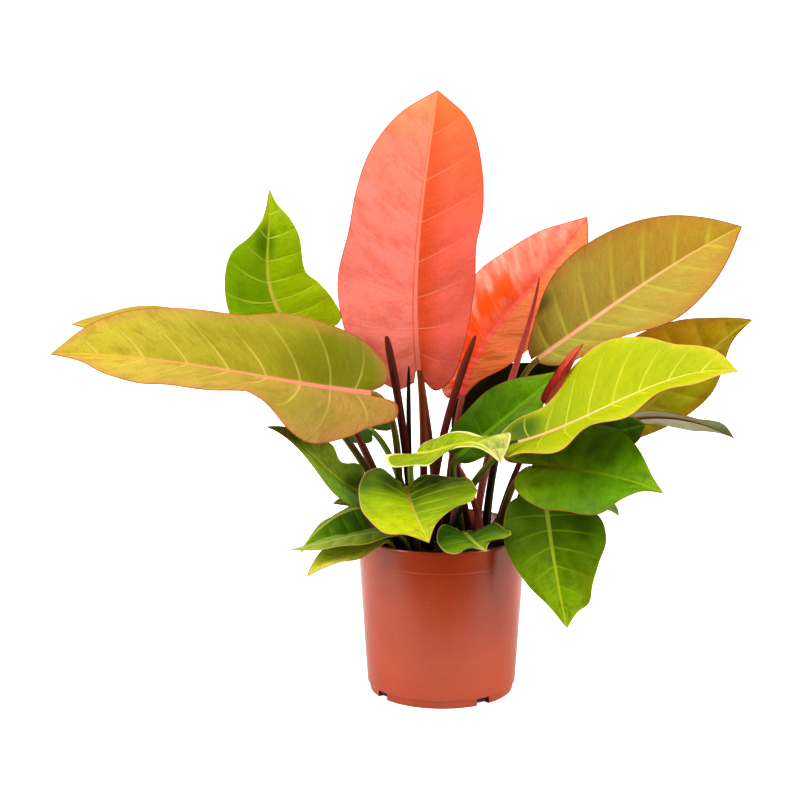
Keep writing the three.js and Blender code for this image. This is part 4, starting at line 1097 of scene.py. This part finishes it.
def patterns_on(tree, leaf, look, at):
    """Adds the patterns that run with the veins to the places."""
    at["woven"] = add(tree, "CombineXYZ", {
        0: add(tree, "Math", {0: at["turn"], 1: leaf["length"]}, operation="MULTIPLY"),
        1: add(tree, "Math", {0: at["share"], 1: LINE_PULL}, operation="MULTIPLY")})
    at["lines"] = add(tree, "TexNoise", {"Vector": at["woven"], "Scale": 1 / LINE, "Detail": 2})
    stretched = add(tree, "VectorMath", {0: at["woven"], 1: BLOTCH_STRETCH}, operation="MULTIPLY")
    at["blotches"] = add(tree, "TexNoise", {"Vector": stretched, "Scale": 1 / LINE, "Detail": 4,
                                            "Roughness": 0.6, "Distortion": 0.4})
    width = look["vein"][2]
    off = add(tree, "Math", {0: at["turn"], 1: leaf["veins"], 2: 0.5}, operation="MULTIPLY_ADD")
    off = add(tree, "Math", {0: off}, operation="FRACT")
    off = add(tree, "Math", {0: off, 1: 0.5}, operation="SUBTRACT")
    off = add(tree, "Math", {0: off}, operation="ABSOLUTE")
    off = add(tree, "Math", {0: off, 1: GAP_AT_RIB * leaf["length"] / leaf["veins"]},
              operation="MULTIPLY")
    at["vein"] = add(tree, "MapRange", {0: off, 1: VEIN_CORE * width, 2: width, 3: 1, 4: 0},
                     interpolation_type="SMOOTHSTEP")


# %% [markdown]
# The ground is the colour of each half from the stalk to the tip. Over it go the tints: a
# band beside the midrib, which is painted shadow on one leaf and the leaf's own orange on
# another, the margin, the blush, and painted highlights on the crests of fine wrinkles.
# Each tint is a cover, from 0 to 1, and a colour.

# %% Ground colours
def ground(tree, look, at):
    """The colours of the two halves, from the stalk to the tip."""
    halves = [add(tree, "ValToRGB", {0: at["ripeness"]}, stops=even_stops(colours))
              for colours in (look["left"], look.get("right", look["left"]))]
    is_right = add(tree, "MapRange", {0: at["out"], 1: -1, 2: 1})
    return add(tree, "Mix", {0: is_right, 6: halves[0], 7: halves[1]}, data_type="RGBA").outputs[2]


# %% Tints beside the midrib and along the margin
def rib_shadow_and_tint(tree, look, at):
    """A band beside the midrib, fading to the tip: painted shadow on coral_tall, own orange on
    coral_leaning.
    """
    sign, colour, strength, reach = look["rib_shadow_and_tint"]
    beside = add(tree, "Math", {0: at["share"], 1: sign}, operation="MULTIPLY")
    on_side = add(tree, "MapRange", {0: beside, 1: -0.02, 2: 0, 3: 0, 4: 1})
    cover = add(tree, "MapRange", {0: beside, 1: 0.05, 2: reach, 3: strength, 4: 0},
                interpolation_type="SMOOTHSTEP")
    to_tip = add(tree, "MapRange", {0: at["ripeness"], 1: 0.55, 2: 1, 3: 1, 4: 0.1})
    cover = add(tree, "Math", {0: cover, 1: to_tip}, operation="MULTIPLY")
    return add(tree, "Math", {0: cover, 1: on_side}, operation="MULTIPLY"), colour


def margin(tree, look, at):
    """A tint that comes in from the edge."""
    colour, reach, strength = look["margin"]
    cover = add(tree, "MapRange", {0: at["edge"], 1: 0, 2: reach, 3: strength, 4: 0},
                interpolation_type="SMOOTHSTEP")
    return cover, colour


# %% Blush, and painted highlights on wrinkles
WRINKLE_STRETCH = (0.08, 0.5, 1)
WRINKLE = 0.909


def blush(tree, look, at):
    """Blotches between the side veins."""
    colour, strength = look["blush"]
    cover = add(tree, "MapRange", {0: at["blotches"], 1: 0.45, 2: 0.68, 3: 0, 4: strength},
                interpolation_type="SMOOTHSTEP")
    return cover, colour


def painted_wrinkle_highlight(tree, look, at):
    """Painted highlights on the crests of fine wrinkles, on one half."""
    sign, colour, strength = look["painted_wrinkle_highlight"]
    stretched = add(tree, "VectorMath", {0: at["woven"], 1: WRINKLE_STRETCH}, operation="MULTIPLY")
    at["wrinkles"] = add(tree, "TexNoise", {"Vector": stretched, "Scale": 1 / WRINKLE, "Detail": 2})
    crests = add(tree, "MapRange", {0: at["wrinkles"], 1: 0.46, 2: 0.62, 3: 0, 4: strength})
    beside = add(tree, "Math", {0: at["share"], 1: sign}, operation="MULTIPLY")
    outer = add(tree, "MapRange", {0: beside, 1: 0.05, 2: 0.5})
    return add(tree, "Math", {0: crests, 1: outer}, operation="MULTIPLY"), colour


TINTS = {"rib_shadow_and_tint": rib_shadow_and_tint, "margin": margin, "blush": blush, "painted_wrinkle_highlight": painted_wrinkle_highlight}

# %% [markdown]
# Spots are soft ovals. How far a point is from the middle of its oval is measured in
# reaches, and a noise added to that tears the edge: the cloud on most leaves, and the
# wrinkles on a leaf that has them.

# %% Spots
RAGGED_CLOUD = 0.6
RAGGED_WRINKLES = 1.6


def spots(tree, look, at):
    """A cover and a colour for each spot of a leaf."""
    wrinkled = "painted_wrinkle_highlight" in look
    torn = at["wrinkles"] if wrinkled else at["cloud"]
    ragged = RAGGED_WRINKLES if wrinkled else RAGGED_CLOUD
    layers = []
    for along, out, long, wide, colour, strength in look.get("spots", ()):
        x = add(tree, "Math", {0: at["along"], 1: along}, operation="SUBTRACT")
        x = add(tree, "Math", {0: x, 1: long}, operation="DIVIDE")
        y = add(tree, "Math", {0: at["out"], 1: out}, operation="SUBTRACT")
        y = add(tree, "Math", {0: y, 1: wide}, operation="DIVIDE")
        away = add(tree, "VectorMath", {0: add(tree, "CombineXYZ", {0: x, 1: y})},
                   operation="LENGTH")
        tear = add(tree, "Math", {0: torn, 1: ragged, 2: 0.3 - ragged / 2},
                   operation="MULTIPLY_ADD")
        away = add(tree, "Math", {0: tear, 1: away.outputs["Value"]}, operation="ADD")
        cover = add(tree, "MapRange", {0: away, 1: 0.5, 2: 1.3, 3: strength, 4: 0},
                    interpolation_type="SMOOTHSTEP")
        layers.append((cover, colour))
    return layers


# %% [markdown]
# A leaf is never evenly bright: the fine lines and the cells under the wax make it lighter
# and darker from millimetre to millimetre. The cells are drawn 2.4 mm wide, much coarser
# than they are, because finer ones would not show.

# %% Light and dark
LEAF_GRAIN = 2.381
GRAIN_DEPTH = 0.09
LINE_DEPTH = 0.14


def uneven(tree, look, at, colour):
    """The colour, lighter and darker along the fine lines and in the cells."""
    depth = look.get("streaks", LINE_DEPTH)
    light = add(tree, "MapRange", {0: at["lines"], 1: 0.3, 2: 0.7, 3: 1 - depth, 4: 1 + 0.7 * depth})
    cells = add(tree, "TexNoise", {"Vector": at["object"], "Scale": scale_of(LEAF_GRAIN),
                                   "Detail": 3, "Roughness": 0.7})
    cells = add(tree, "MapRange", {0: cells, 1: 0.3, 2: 0.7, 3: 1 - GRAIN_DEPTH, 4: 1 + GRAIN_DEPTH})
    light = add(tree, "Math", {0: light, 1: cells}, operation="MULTIPLY")
    return add(tree, "VectorMath", {0: colour, 3: light}, operation="SCALE").outputs[0]


# %% [markdown]
# Four more layers lie over that: the side veins, which fade towards the margin, the lower
# side, the thread along the rim, and the midrib.

# %% Veins and lower side
UNDER_SHARE = 0.6


def side_veins(tree, look, at):
    """The side veins, patchy and fading towards the margin."""
    colour, strength, _ = look["vein"]
    spread = add(tree, "Math", {0: at["share"]}, operation="ABSOLUTE")
    fading = add(tree, "MapRange", {0: spread, 1: 0.2, 2: 1, 3: strength, 4: 0})
    patchy = add(tree, "MapRange", {0: at["cloud"], 1: 0.35, 2: 0.6, 3: 0.55, 4: 1})
    fading = add(tree, "Math", {0: fading, 1: patchy}, operation="MULTIPLY")
    return add(tree, "Math", {0: at["vein"], 1: fading}, operation="MULTIPLY"), colour


def lower_side(tree, look, at):
    """The duller colour below, which is one colour or changes along the leaf."""
    colour = look["under"]
    if isinstance(colour, tuple):
        colour = add(tree, "ValToRGB", {0: at["u"]}, stops=even_stops(colour))
    share = look.get("under_share", UNDER_SHARE)
    return add(tree, "Math", {0: at["under"], 1: share}, operation="MULTIPLY"), colour


# %% Rim and midrib
RIM_CORE = 0.4
RIM_STRENGTH = 0.9
RIB_CORE = 0.55


def rim(tree, look, at):
    """The thread along the margin."""
    colour, width = look["rim"]
    cover = add(tree, "MapRange", {0: at["edge"], 1: RIM_CORE * width, 2: width,
                                   3: RIM_STRENGTH, 4: 0}, interpolation_type="SMOOTHSTEP")
    return cover, colour


def midrib(tree, look, at):
    """The midrib, as wide as it is modelled."""
    width = add(tree, "MapRange", {0: at["u"], 3: RIB_HALF, 4: RIB_HALF * (1 - RIB_TAPER)})
    off = add(tree, "Math", {0: at["out"]}, operation="ABSOLUTE")
    off = add(tree, "Math", {0: off, 1: width}, operation="DIVIDE")
    cover = add(tree, "MapRange", {0: off, 1: RIB_CORE, 2: 1, 3: 1, 4: 0},
                interpolation_type="SMOOTHSTEP")
    return cover, add(tree, "ValToRGB", {0: at["u"]}, stops=even_stops(look["rib"]))


OVER_ALL = (side_veins, lower_side, rim, midrib)

# %% [markdown]
# The same patterns make the skin uneven: the lines stand up, the veins lie in, and the
# blotches and wrinkles are low swellings. Each leaf then gets a material of its own, with
# a satin wax whose reflection is faintly yellow, and a little light that soaks through.

# %% Relief
VEIN_DENT = 0.7
BLOTCH_SWELL = 2
WRINKLE_SWELL = 16
RELIEF_STRENGTH = 0.6
RELIEF_HEIGHT = 0.5


def relief(tree, look, at):
    """The bump of the skin."""
    height = add(tree, "Math", {0: at["vein"], 1: -VEIN_DENT, 2: at["lines"]},
                 operation="MULTIPLY_ADD")
    height = add(tree, "Math", {0: at["blotches"], 1: BLOTCH_SWELL, 2: height},
                 operation="MULTIPLY_ADD")
    if "painted_wrinkle_highlight" in look:
        height = add(tree, "Math", {0: at["wrinkles"], 1: WRINKLE_SWELL, 2: height},
                     operation="MULTIPLY_ADD")
    return add(tree, "Bump", {"Height": height, "Strength": look.get("relief", RELIEF_STRENGTH),
                              "Distance": RELIEF_HEIGHT * MM})


# %% Leaf material
LEAF_ROUGHNESS = 0.42
LEAF_SHINE = 0.25
SOAK = 0.08
SOAK_DEPTH = (0.002, 0.002, 0.001)


def leaf_material(name, leaf):
    """Waxed leaf skin: living tissue under a smooth cuticle, which gives it a satin shine."""
    look = LOOKS[name]
    rough = look.get("rough", LEAF_ROUGHNESS)
    material, tree, surface = new_material("waxed_leaf_skin_" + name, rough)
    at = places_on(tree, leaf)
    patterns_on(tree, leaf, look, at)

    def lay(colour, layers):
        for cover, paint in layers:
            mixed = add(tree, "Mix", {0: cover, 6: colour, 7: paint}, data_type="RGBA")
            colour = mixed.outputs[2]
        return colour

    tints = [tint(tree, look, at) for key, tint in TINTS.items() if key in look]
    colour = lay(ground(tree, look, at), tints + spots(tree, look, at))
    colour = uneven(tree, look, at, colour)
    colour = lay(colour, [layer(tree, look, at) for layer in OVER_ALL])
    tree.links.new(colour, surface.inputs["Base Color"])
    tree.links.new(relief(tree, look, at).outputs[0], surface.inputs["Normal"])
    surface.inputs["Specular IOR Level"].default_value = LEAF_SHINE
    surface.inputs["Specular Tint"].default_value = linear("#fff4c8")
    surface.inputs["Subsurface Weight"].default_value = SOAK
    surface.inputs["Subsurface Radius"].default_value = SOAK_DEPTH
    surface.inputs["Subsurface Scale"].default_value = 1
    return material


# %% [markdown]
# ## Stalks and sheaths
#
# Leaf stalks are smooth and juicy, with faint lines along them; old sheaths have dried to
# a dull brown paper whose ribs stand out. The colour of a stalk runs from its foot to its
# top, and the lines are drawn from the place kept on each corner: up it, and round it.

# %% Stalk material
STALK_CLOUD = 16.67
STALK_SHIFT = 0.2
STALK_LENGTHS = 2.5
STALK_SHINE = 0.25
STALK_RIBS = 14


def stalk_material(name, colours, rough=0.38, ribs=STALK_RIBS, strength=0.15):
    """Juicy green tissue or dry sheath paper: darker and lighter lines run along it."""
    material, tree, surface = new_material(name, rough)
    place = add(tree, "SeparateXYZ", {0: add(tree, "Attribute", attribute_name="stalk")})
    up, round_it, _ = place.outputs
    cloud = add(tree, "TexNoise", {"Vector": add(tree, "TexCoord").outputs["Object"],
                                   "Scale": scale_of(STALK_CLOUD), "Detail": 3})
    shift = add(tree, "Math", {0: cloud, 1: STALK_SHIFT, 2: -STALK_SHIFT / 2},
                operation="MULTIPLY_ADD")
    ripeness = add(tree, "Math", {0: up, 1: shift}, operation="ADD", use_clamp=True)
    colour = add(tree, "ValToRGB", {0: ripeness}, stops=even_stops(colours))
    angle = add(tree, "Math", {0: round_it, 1: math.tau}, operation="MULTIPLY")
    line_place = add(tree, "CombineXYZ", {
        0: add(tree, "Math", {0: angle}, operation="COSINE"),
        1: add(tree, "Math", {0: angle}, operation="SINE"),
        2: add(tree, "Math", {0: up, 1: STALK_LENGTHS}, operation="MULTIPLY")})
    lines = add(tree, "TexNoise", {"Vector": line_place, "Scale": ribs / 3, "Detail": 3})
    light = add(tree, "MapRange", {0: lines, 1: 0.3, 2: 0.7, 3: 0.72, 4: 1.28})
    colour = add(tree, "VectorMath", {0: colour, 3: light}, operation="SCALE")
    tree.links.new(colour.outputs[0], surface.inputs["Base Color"])
    surface.inputs["Specular IOR Level"].default_value = STALK_SHINE
    bump = add(tree, "Bump", {"Height": lines, "Strength": strength, "Distance": 1 * MM})
    tree.links.new(bump.outputs[0], surface.inputs["Normal"])
    return material


# %% [markdown]
# ## The leaves and scrolls, made and painted
#
# Each leaf gets its blade and its stalk from the helpers above. Every stalk starts nearly
# black at its foot: painted shadow, for the shadow among the crowded stalks above the soil.

# %% Make the leaves
# painted shadow at the foot of every stalk
STALK_FOOT_SHADE = "#180c06"

for name, leaf in LEAVES.items():
    piece("leaf_" + name, blade(leaf), leaf_material(name, leaf), "blade_" + name)
    skin = stalk_material("leaf_stalk_skin_" + name, (STALK_FOOT_SHADE, *LOOKS[name]["stalk"]))
    piece("petiole_" + name, stalk(leaf), skin, "stalk_" + name)
print("made", len(LEAVES), "leaves")

# %% Make the scrolls
SCROLL_RIBS = 30

for name, shape in SCROLLS.items():
    skin = stalk_material(shape["finish"], shape["colours"], shape["rough"], SCROLL_RIBS,
                          shape["relief"])
    piece(name + "_skin", scroll(shape), skin, name)
print("made", len(SCROLLS), "scrolls")

# %% [markdown]
# ## The pot
#
# A nursery pot is moulded in one shot from a soft plastic, so that every edge is slightly
# round and the wall is the same thickness all over. Its half section is drawn once and
# spun round the axis. Extra points just above and below each edge keep the long smooth
# wall from shading as if it bulged.

# %% Sizes of the pot
POT_HEIGHT = 164
RIM_RADIUS = 85
RIM_BAND = 22.5
RIM_STEP = 0.9
RIM_LIP = 2.2
WALL_TOP_RADIUS = 83.2
WALL_FOOT_RADIUS = 74.5
WALL = 1.6
FOOT_RADIUS = 72
FOOT_HEIGHT = 8
INNER_FOOT_RADIUS = 69.4
FLOOR = 2
EDGE_ROUND = 0.6
BAND_FOOT = POT_HEIGHT - RIM_BAND
WALL_SUPPORTS = (10, 13, 40, 75, 110, BAND_FOOT - 4, BAND_FOOT - 1)


def inner_wall(z):
    """The radius of the inside of the wall at a height."""
    share = (z - FOOT_HEIGHT) / (BAND_FOOT - FOOT_HEIGHT)
    return WALL_FOOT_RADIUS + (WALL_TOP_RADIUS - WALL_FOOT_RADIUS) * share - WALL


BAND_RADIUS = WALL_TOP_RADIUS + RIM_STEP
POT_PROFILE = [
    # the foot, from the axis outwards and up
    (0, 0), (FOOT_RADIUS - EDGE_ROUND, 0), (FOOT_RADIUS, EDGE_ROUND),
    (FOOT_RADIUS, FOOT_HEIGHT - EDGE_ROUND), (WALL_FOOT_RADIUS - EDGE_ROUND, FOOT_HEIGHT),
    (WALL_FOOT_RADIUS, FOOT_HEIGHT + EDGE_ROUND),
    # the wall
    *[(inner_wall(z) + WALL, z) for z in WALL_SUPPORTS],
    (WALL_TOP_RADIUS - 0.1, BAND_FOOT - 0.3), (WALL_TOP_RADIUS, BAND_FOOT),
    # the rim band
    (BAND_RADIUS, BAND_FOOT + 0.5), (BAND_RADIUS + 0.1, BAND_FOOT + 1.2),
    (BAND_RADIUS + 0.15, BAND_FOOT + 3), (RIM_RADIUS - 0.1, POT_HEIGHT - 5),
    (RIM_RADIUS, POT_HEIGHT - 3 * EDGE_ROUND), (RIM_RADIUS - 0.2, POT_HEIGHT - EDGE_ROUND),
    (RIM_RADIUS - EDGE_ROUND, POT_HEIGHT - 0.1),
    (RIM_RADIUS - RIM_LIP + EDGE_ROUND, POT_HEIGHT), (RIM_RADIUS - RIM_LIP, POT_HEIGHT - EDGE_ROUND),
    # down the inside to the axis
    (inner_wall(BAND_FOOT), BAND_FOOT), (inner_wall(FOOT_HEIGHT + WALL), FOOT_HEIGHT + WALL),
    (INNER_FOOT_RADIUS, FOOT_HEIGHT - WALL), (INNER_FOOT_RADIUS, FLOOR), (0, FLOOR),
]
print("the pot's half section has", len(POT_PROFILE), "points")


# %% Spin a profile
def spun(profile, segments):
    """A bmesh of a profile of radius and height in millimetres, spun round the Z axis."""
    bm = bmesh.new()
    verts = [bm.verts.new((radius * MM, 0, z * MM)) for radius, z in profile]
    edges = [bm.edges.new(pair) for pair in zip(verts, verts[1:])]
    bmesh.ops.spin(bm, geom=verts + edges, cent=(0, 0, 0), axis=(0, 0, 1), angle=math.tau,
                   steps=segments, use_merge=True)
    bmesh.ops.remove_doubles(bm, verts=bm.verts[:], dist=0.01 * MM)
    bmesh.ops.recalc_face_normals(bm, faces=bm.faces[:])
    return bm


# %% [markdown]
# The foot has four pockets that let water out sideways. Each is a small room pushed into
# the foot: a block is added inside the pot for its walls and roof, and a smaller block is
# cut out from below. Both are Booleans, since the pocket's walls meet a round foot.

# %% Cut one shape with another
from mathutils import Matrix


def scratch_object(name, bm):
    """A helper object for cutting."""
    mesh = bpy.data.meshes.new(name)
    bm.to_mesh(mesh)
    bm.free()
    made = bpy.data.objects.new(name, mesh)
    scene.collection.objects.link(made)
    return made


def cut(body, tool, operation):
    """Applies one Boolean to a bmesh and returns the outcome as a new bmesh."""
    target = scratch_object("target", body)
    cutter = scratch_object("cutter", tool)
    modifier = target.modifiers.new("cut", "BOOLEAN")
    modifier.operation = operation
    modifier.solver = "EXACT"
    modifier.object = cutter
    evaluated = target.evaluated_get(bpy.context.evaluated_depsgraph_get())
    mesh = bpy.data.meshes.new_from_object(evaluated)
    outcome = bmesh.new()
    outcome.from_mesh(mesh)
    bpy.data.objects.remove(target)
    bpy.data.objects.remove(cutter)
    bpy.data.meshes.remove(mesh)
    return outcome


# %% Pockets in the foot
POT_SEGMENTS = 224
POCKET_ANGLES = (-55.5, 34.5, 124.5, 214.5)
POCKET_WIDTH = 15
POCKET_DEPTH = 14
POCKET_HEIGHT = 8
POCKET_ROOF = 1.6
OUTSIDE = 6
INSIDE_SEGMENTS = 96


def block(angle, width, inwards, height, bottom):
    """A box that reaches in from the foot's outside, turned to a pocket's place."""
    bm = bmesh.new()
    made = bmesh.ops.create_cube(bm, size=1)["verts"]
    bmesh.ops.scale(bm, verts=made, vec=(width * MM, (inwards + OUTSIDE) * MM, height * MM))
    middle = (0, (-FOOT_RADIUS + (inwards - OUTSIDE) / 2) * MM, (bottom + height / 2) * MM)
    bmesh.ops.translate(bm, verts=made, vec=middle)
    turned = Matrix.Rotation(math.radians(angle), 3, "Z")
    bmesh.ops.rotate(bm, verts=made, cent=(0, 0, 0), matrix=turned)
    return bm


def pocket(pot, angle):
    """The pot with one more pocket."""
    low, high = FLOOR / 2, FOOT_HEIGHT + 3
    inside = spun([(0, low), (INNER_FOOT_RADIUS + 1, low), (INNER_FOOT_RADIUS + 1, high),
                   (0, high)], INSIDE_SEGMENTS)
    walls = block(angle, POCKET_WIDTH + 2 * POCKET_ROOF, POCKET_DEPTH + POCKET_ROOF,
                  POCKET_HEIGHT + POCKET_ROOF - low, low)
    pot = cut(pot, cut(walls, inside, "INTERSECT"), "UNION")
    hollow = block(angle, POCKET_WIDTH, POCKET_DEPTH, POCKET_HEIGHT + 1, -1)
    return cut(pot, hollow, "DIFFERENCE")


pot_bm = spun(POT_PROFILE, POT_SEGMENTS)
for angle in POCKET_ANGLES:
    pot_bm = pocket(pot_bm, angle)
bmesh.ops.recalc_face_normals(pot_bm, faces=pot_bm.faces[:])
print("cut", len(POCKET_ANGLES), "pockets")

# %% [markdown]
# ## The pot's plastic
#
# Nursery pots are polypropylene, injection moulded against polished steel. That gives a
# satin skin with a broad soft reflection. The plastic is clouded where it cooled unevenly,
# and its grain is drawn 1.1 mm wide, coarser than it is, so that it shows.

# %% Plastic
POT_CLOUD = 55.56
POT_GRAIN = 1.111
POT_SHINE = 0.75


def plastic_material():
    """Injection-moulded polypropylene: a satin skin, slightly uneven from the mould."""
    material, tree, surface = new_material("moulded_polypropylene", 0.42)
    surface.inputs["Specular IOR Level"].default_value = POT_SHINE
    where = add(tree, "TexCoord").outputs["Object"]
    cloud = add(tree, "TexNoise", {"Vector": where, "Scale": scale_of(POT_CLOUD), "Detail": 4})
    colour = add(tree, "ValToRGB", {0: cloud}, stops=[(0.3, "#a33b16"), (0.7, "#ad421c")])
    grain = add(tree, "TexNoise", {"Vector": where, "Scale": scale_of(POT_GRAIN), "Detail": 2})
    light = add(tree, "MapRange", {0: grain, 1: 0.3, 2: 0.7, 3: 0.9, 4: 1.1})
    colour = add(tree, "VectorMath", {0: colour, 3: light}, operation="SCALE")
    tree.links.new(colour.outputs[0], surface.inputs["Base Color"])
    rough = add(tree, "MapRange", {0: cloud, 1: 0.3, 2: 0.7, 3: 0.2, 4: 0.28})
    tree.links.new(rough.outputs[0], surface.inputs["Roughness"])
    bump = add(tree, "Bump", {"Height": grain, "Strength": 0.12, "Distance": 0.3 * MM})
    tree.links.new(bump.outputs[0], surface.inputs["Normal"])
    return material


piece("pot_body", pot_bm, plastic_material(), "pot")
print("made the pot,", POT_HEIGHT, "mm high")

# %% [markdown]
# ## The soil
#
# Potting soil for such plants is peat with bark and a few fibres. Its top is a disc of
# fine rings, lifted by two noises, and crumbs of four sizes lie on it.

# %% The soil's body
from mathutils import noise

SOIL_LUMP = 1.6
SOIL_RINGS = 60
SOIL_SEGMENTS = 160
GAP = 0.3
COARSE = (4, 1.2)
FINE = (1.6, 0.5)


def lump(x, y):
    """The height of the soil's top above its level, in millimetres."""
    return SOIL_LUMP * (math.sin(x / 7 + 1.3 * math.sin(y / 9))
                        + math.sin(y / 6 + 1.7 * math.sin(x / 11))) / 2


top_radius = inner_wall(SOIL_TOP) - 2 * GAP
shoulder = FOOT_HEIGHT + 2 * WALL
soil_profile = [(0, FLOOR + GAP), (INNER_FOOT_RADIUS - GAP, FLOOR + GAP),
                (INNER_FOOT_RADIUS - GAP, FOOT_HEIGHT - WALL),
                (inner_wall(shoulder) - 2 * GAP, shoulder)]
soil_profile += [(top_radius * i / SOIL_RINGS, SOIL_TOP) for i in range(SOIL_RINGS, -1, -1)]
soil_bm = spun(soil_profile, SOIL_SEGMENTS)
for vert in soil_bm.verts:
    x, y, z = vert.co / MM
    if z > SOIL_TOP - 1:
        rough = (COARSE[1] * noise.noise(Vector((x, y, 0)) / COARSE[0])
                 + FINE[1] * noise.noise(Vector((x, y, 9)) / FINE[0]))
        vert.co.z = (SOIL_TOP + lump(x, y) + rough) * MM
print("the soil's top is", round(2 * top_radius), "mm across")

# %% Crumbs
import random

CRUMBS = 620
CRUMB_SIZES = (1.0, 1.3, 1.6, 2.4)
CRUMB_SEED = 7

random.seed(CRUMB_SEED)
for _ in range(CRUMBS):
    size = random.choice(CRUMB_SIZES) * random.uniform(0.7, 1.2)
    reach = (top_radius - 3) * math.sqrt(random.random())
    angle = random.uniform(0, math.tau)
    x, y = reach * math.cos(angle), reach * math.sin(angle)
    crumb = bmesh.ops.create_icosphere(soil_bm, subdivisions=1, radius=size * MM)["verts"]
    for vert in crumb:
        vert.co *= 0.75 + 0.5 * random.random()
        vert.co.z *= 0.7
        vert.co += Vector((x, y, SOIL_TOP + lump(x, y) + 0.3 * size)) * MM
print("laid", CRUMBS, "crumbs on the soil")

# %% [markdown]
# ## What the soil is like to look at
#
# Moist peat is nearly black and has no shine. A cell pattern 2.6 mm wide gives each crumb
# a brown of its own, and a few are pale bits of bark.

# %% Soil material
SOIL_CELL = 2.632
SOIL_FINE = 1.111


def soil_material():
    """Moist peat and bark: nearly black, matt, with browner and paler crumbs."""
    material, tree, surface = new_material("moist_peat_soil", 0.85)
    where = add(tree, "TexCoord").outputs["Object"]
    crumbs = add(tree, "TexVoronoi", {"Vector": where, "Scale": scale_of(SOIL_CELL)})
    colour = add(tree, "ValToRGB", {0: crumbs.outputs["Color"]},
                 stops=[(0.0, "#120b07"), (0.55, "#2a1a12"), (0.9, "#4a3322"), (1.0, "#7a5e42")])
    tree.links.new(colour.outputs[0], surface.inputs["Base Color"])
    fine = add(tree, "TexNoise", {"Vector": where, "Scale": scale_of(SOIL_FINE), "Detail": 3})
    bump = add(tree, "Bump", {"Height": fine, "Strength": 0.7, "Distance": 1 * MM})
    tree.links.new(bump.outputs[0], surface.inputs["Normal"])
    return material


piece("soil_surface", soil_bm, soil_material(), "soil")
print("made the soil")

# %% [markdown]
# ## The size, and the end
#
# The box that the solids fill, which every visual piece is kept inside.

print("solids", cad_box)
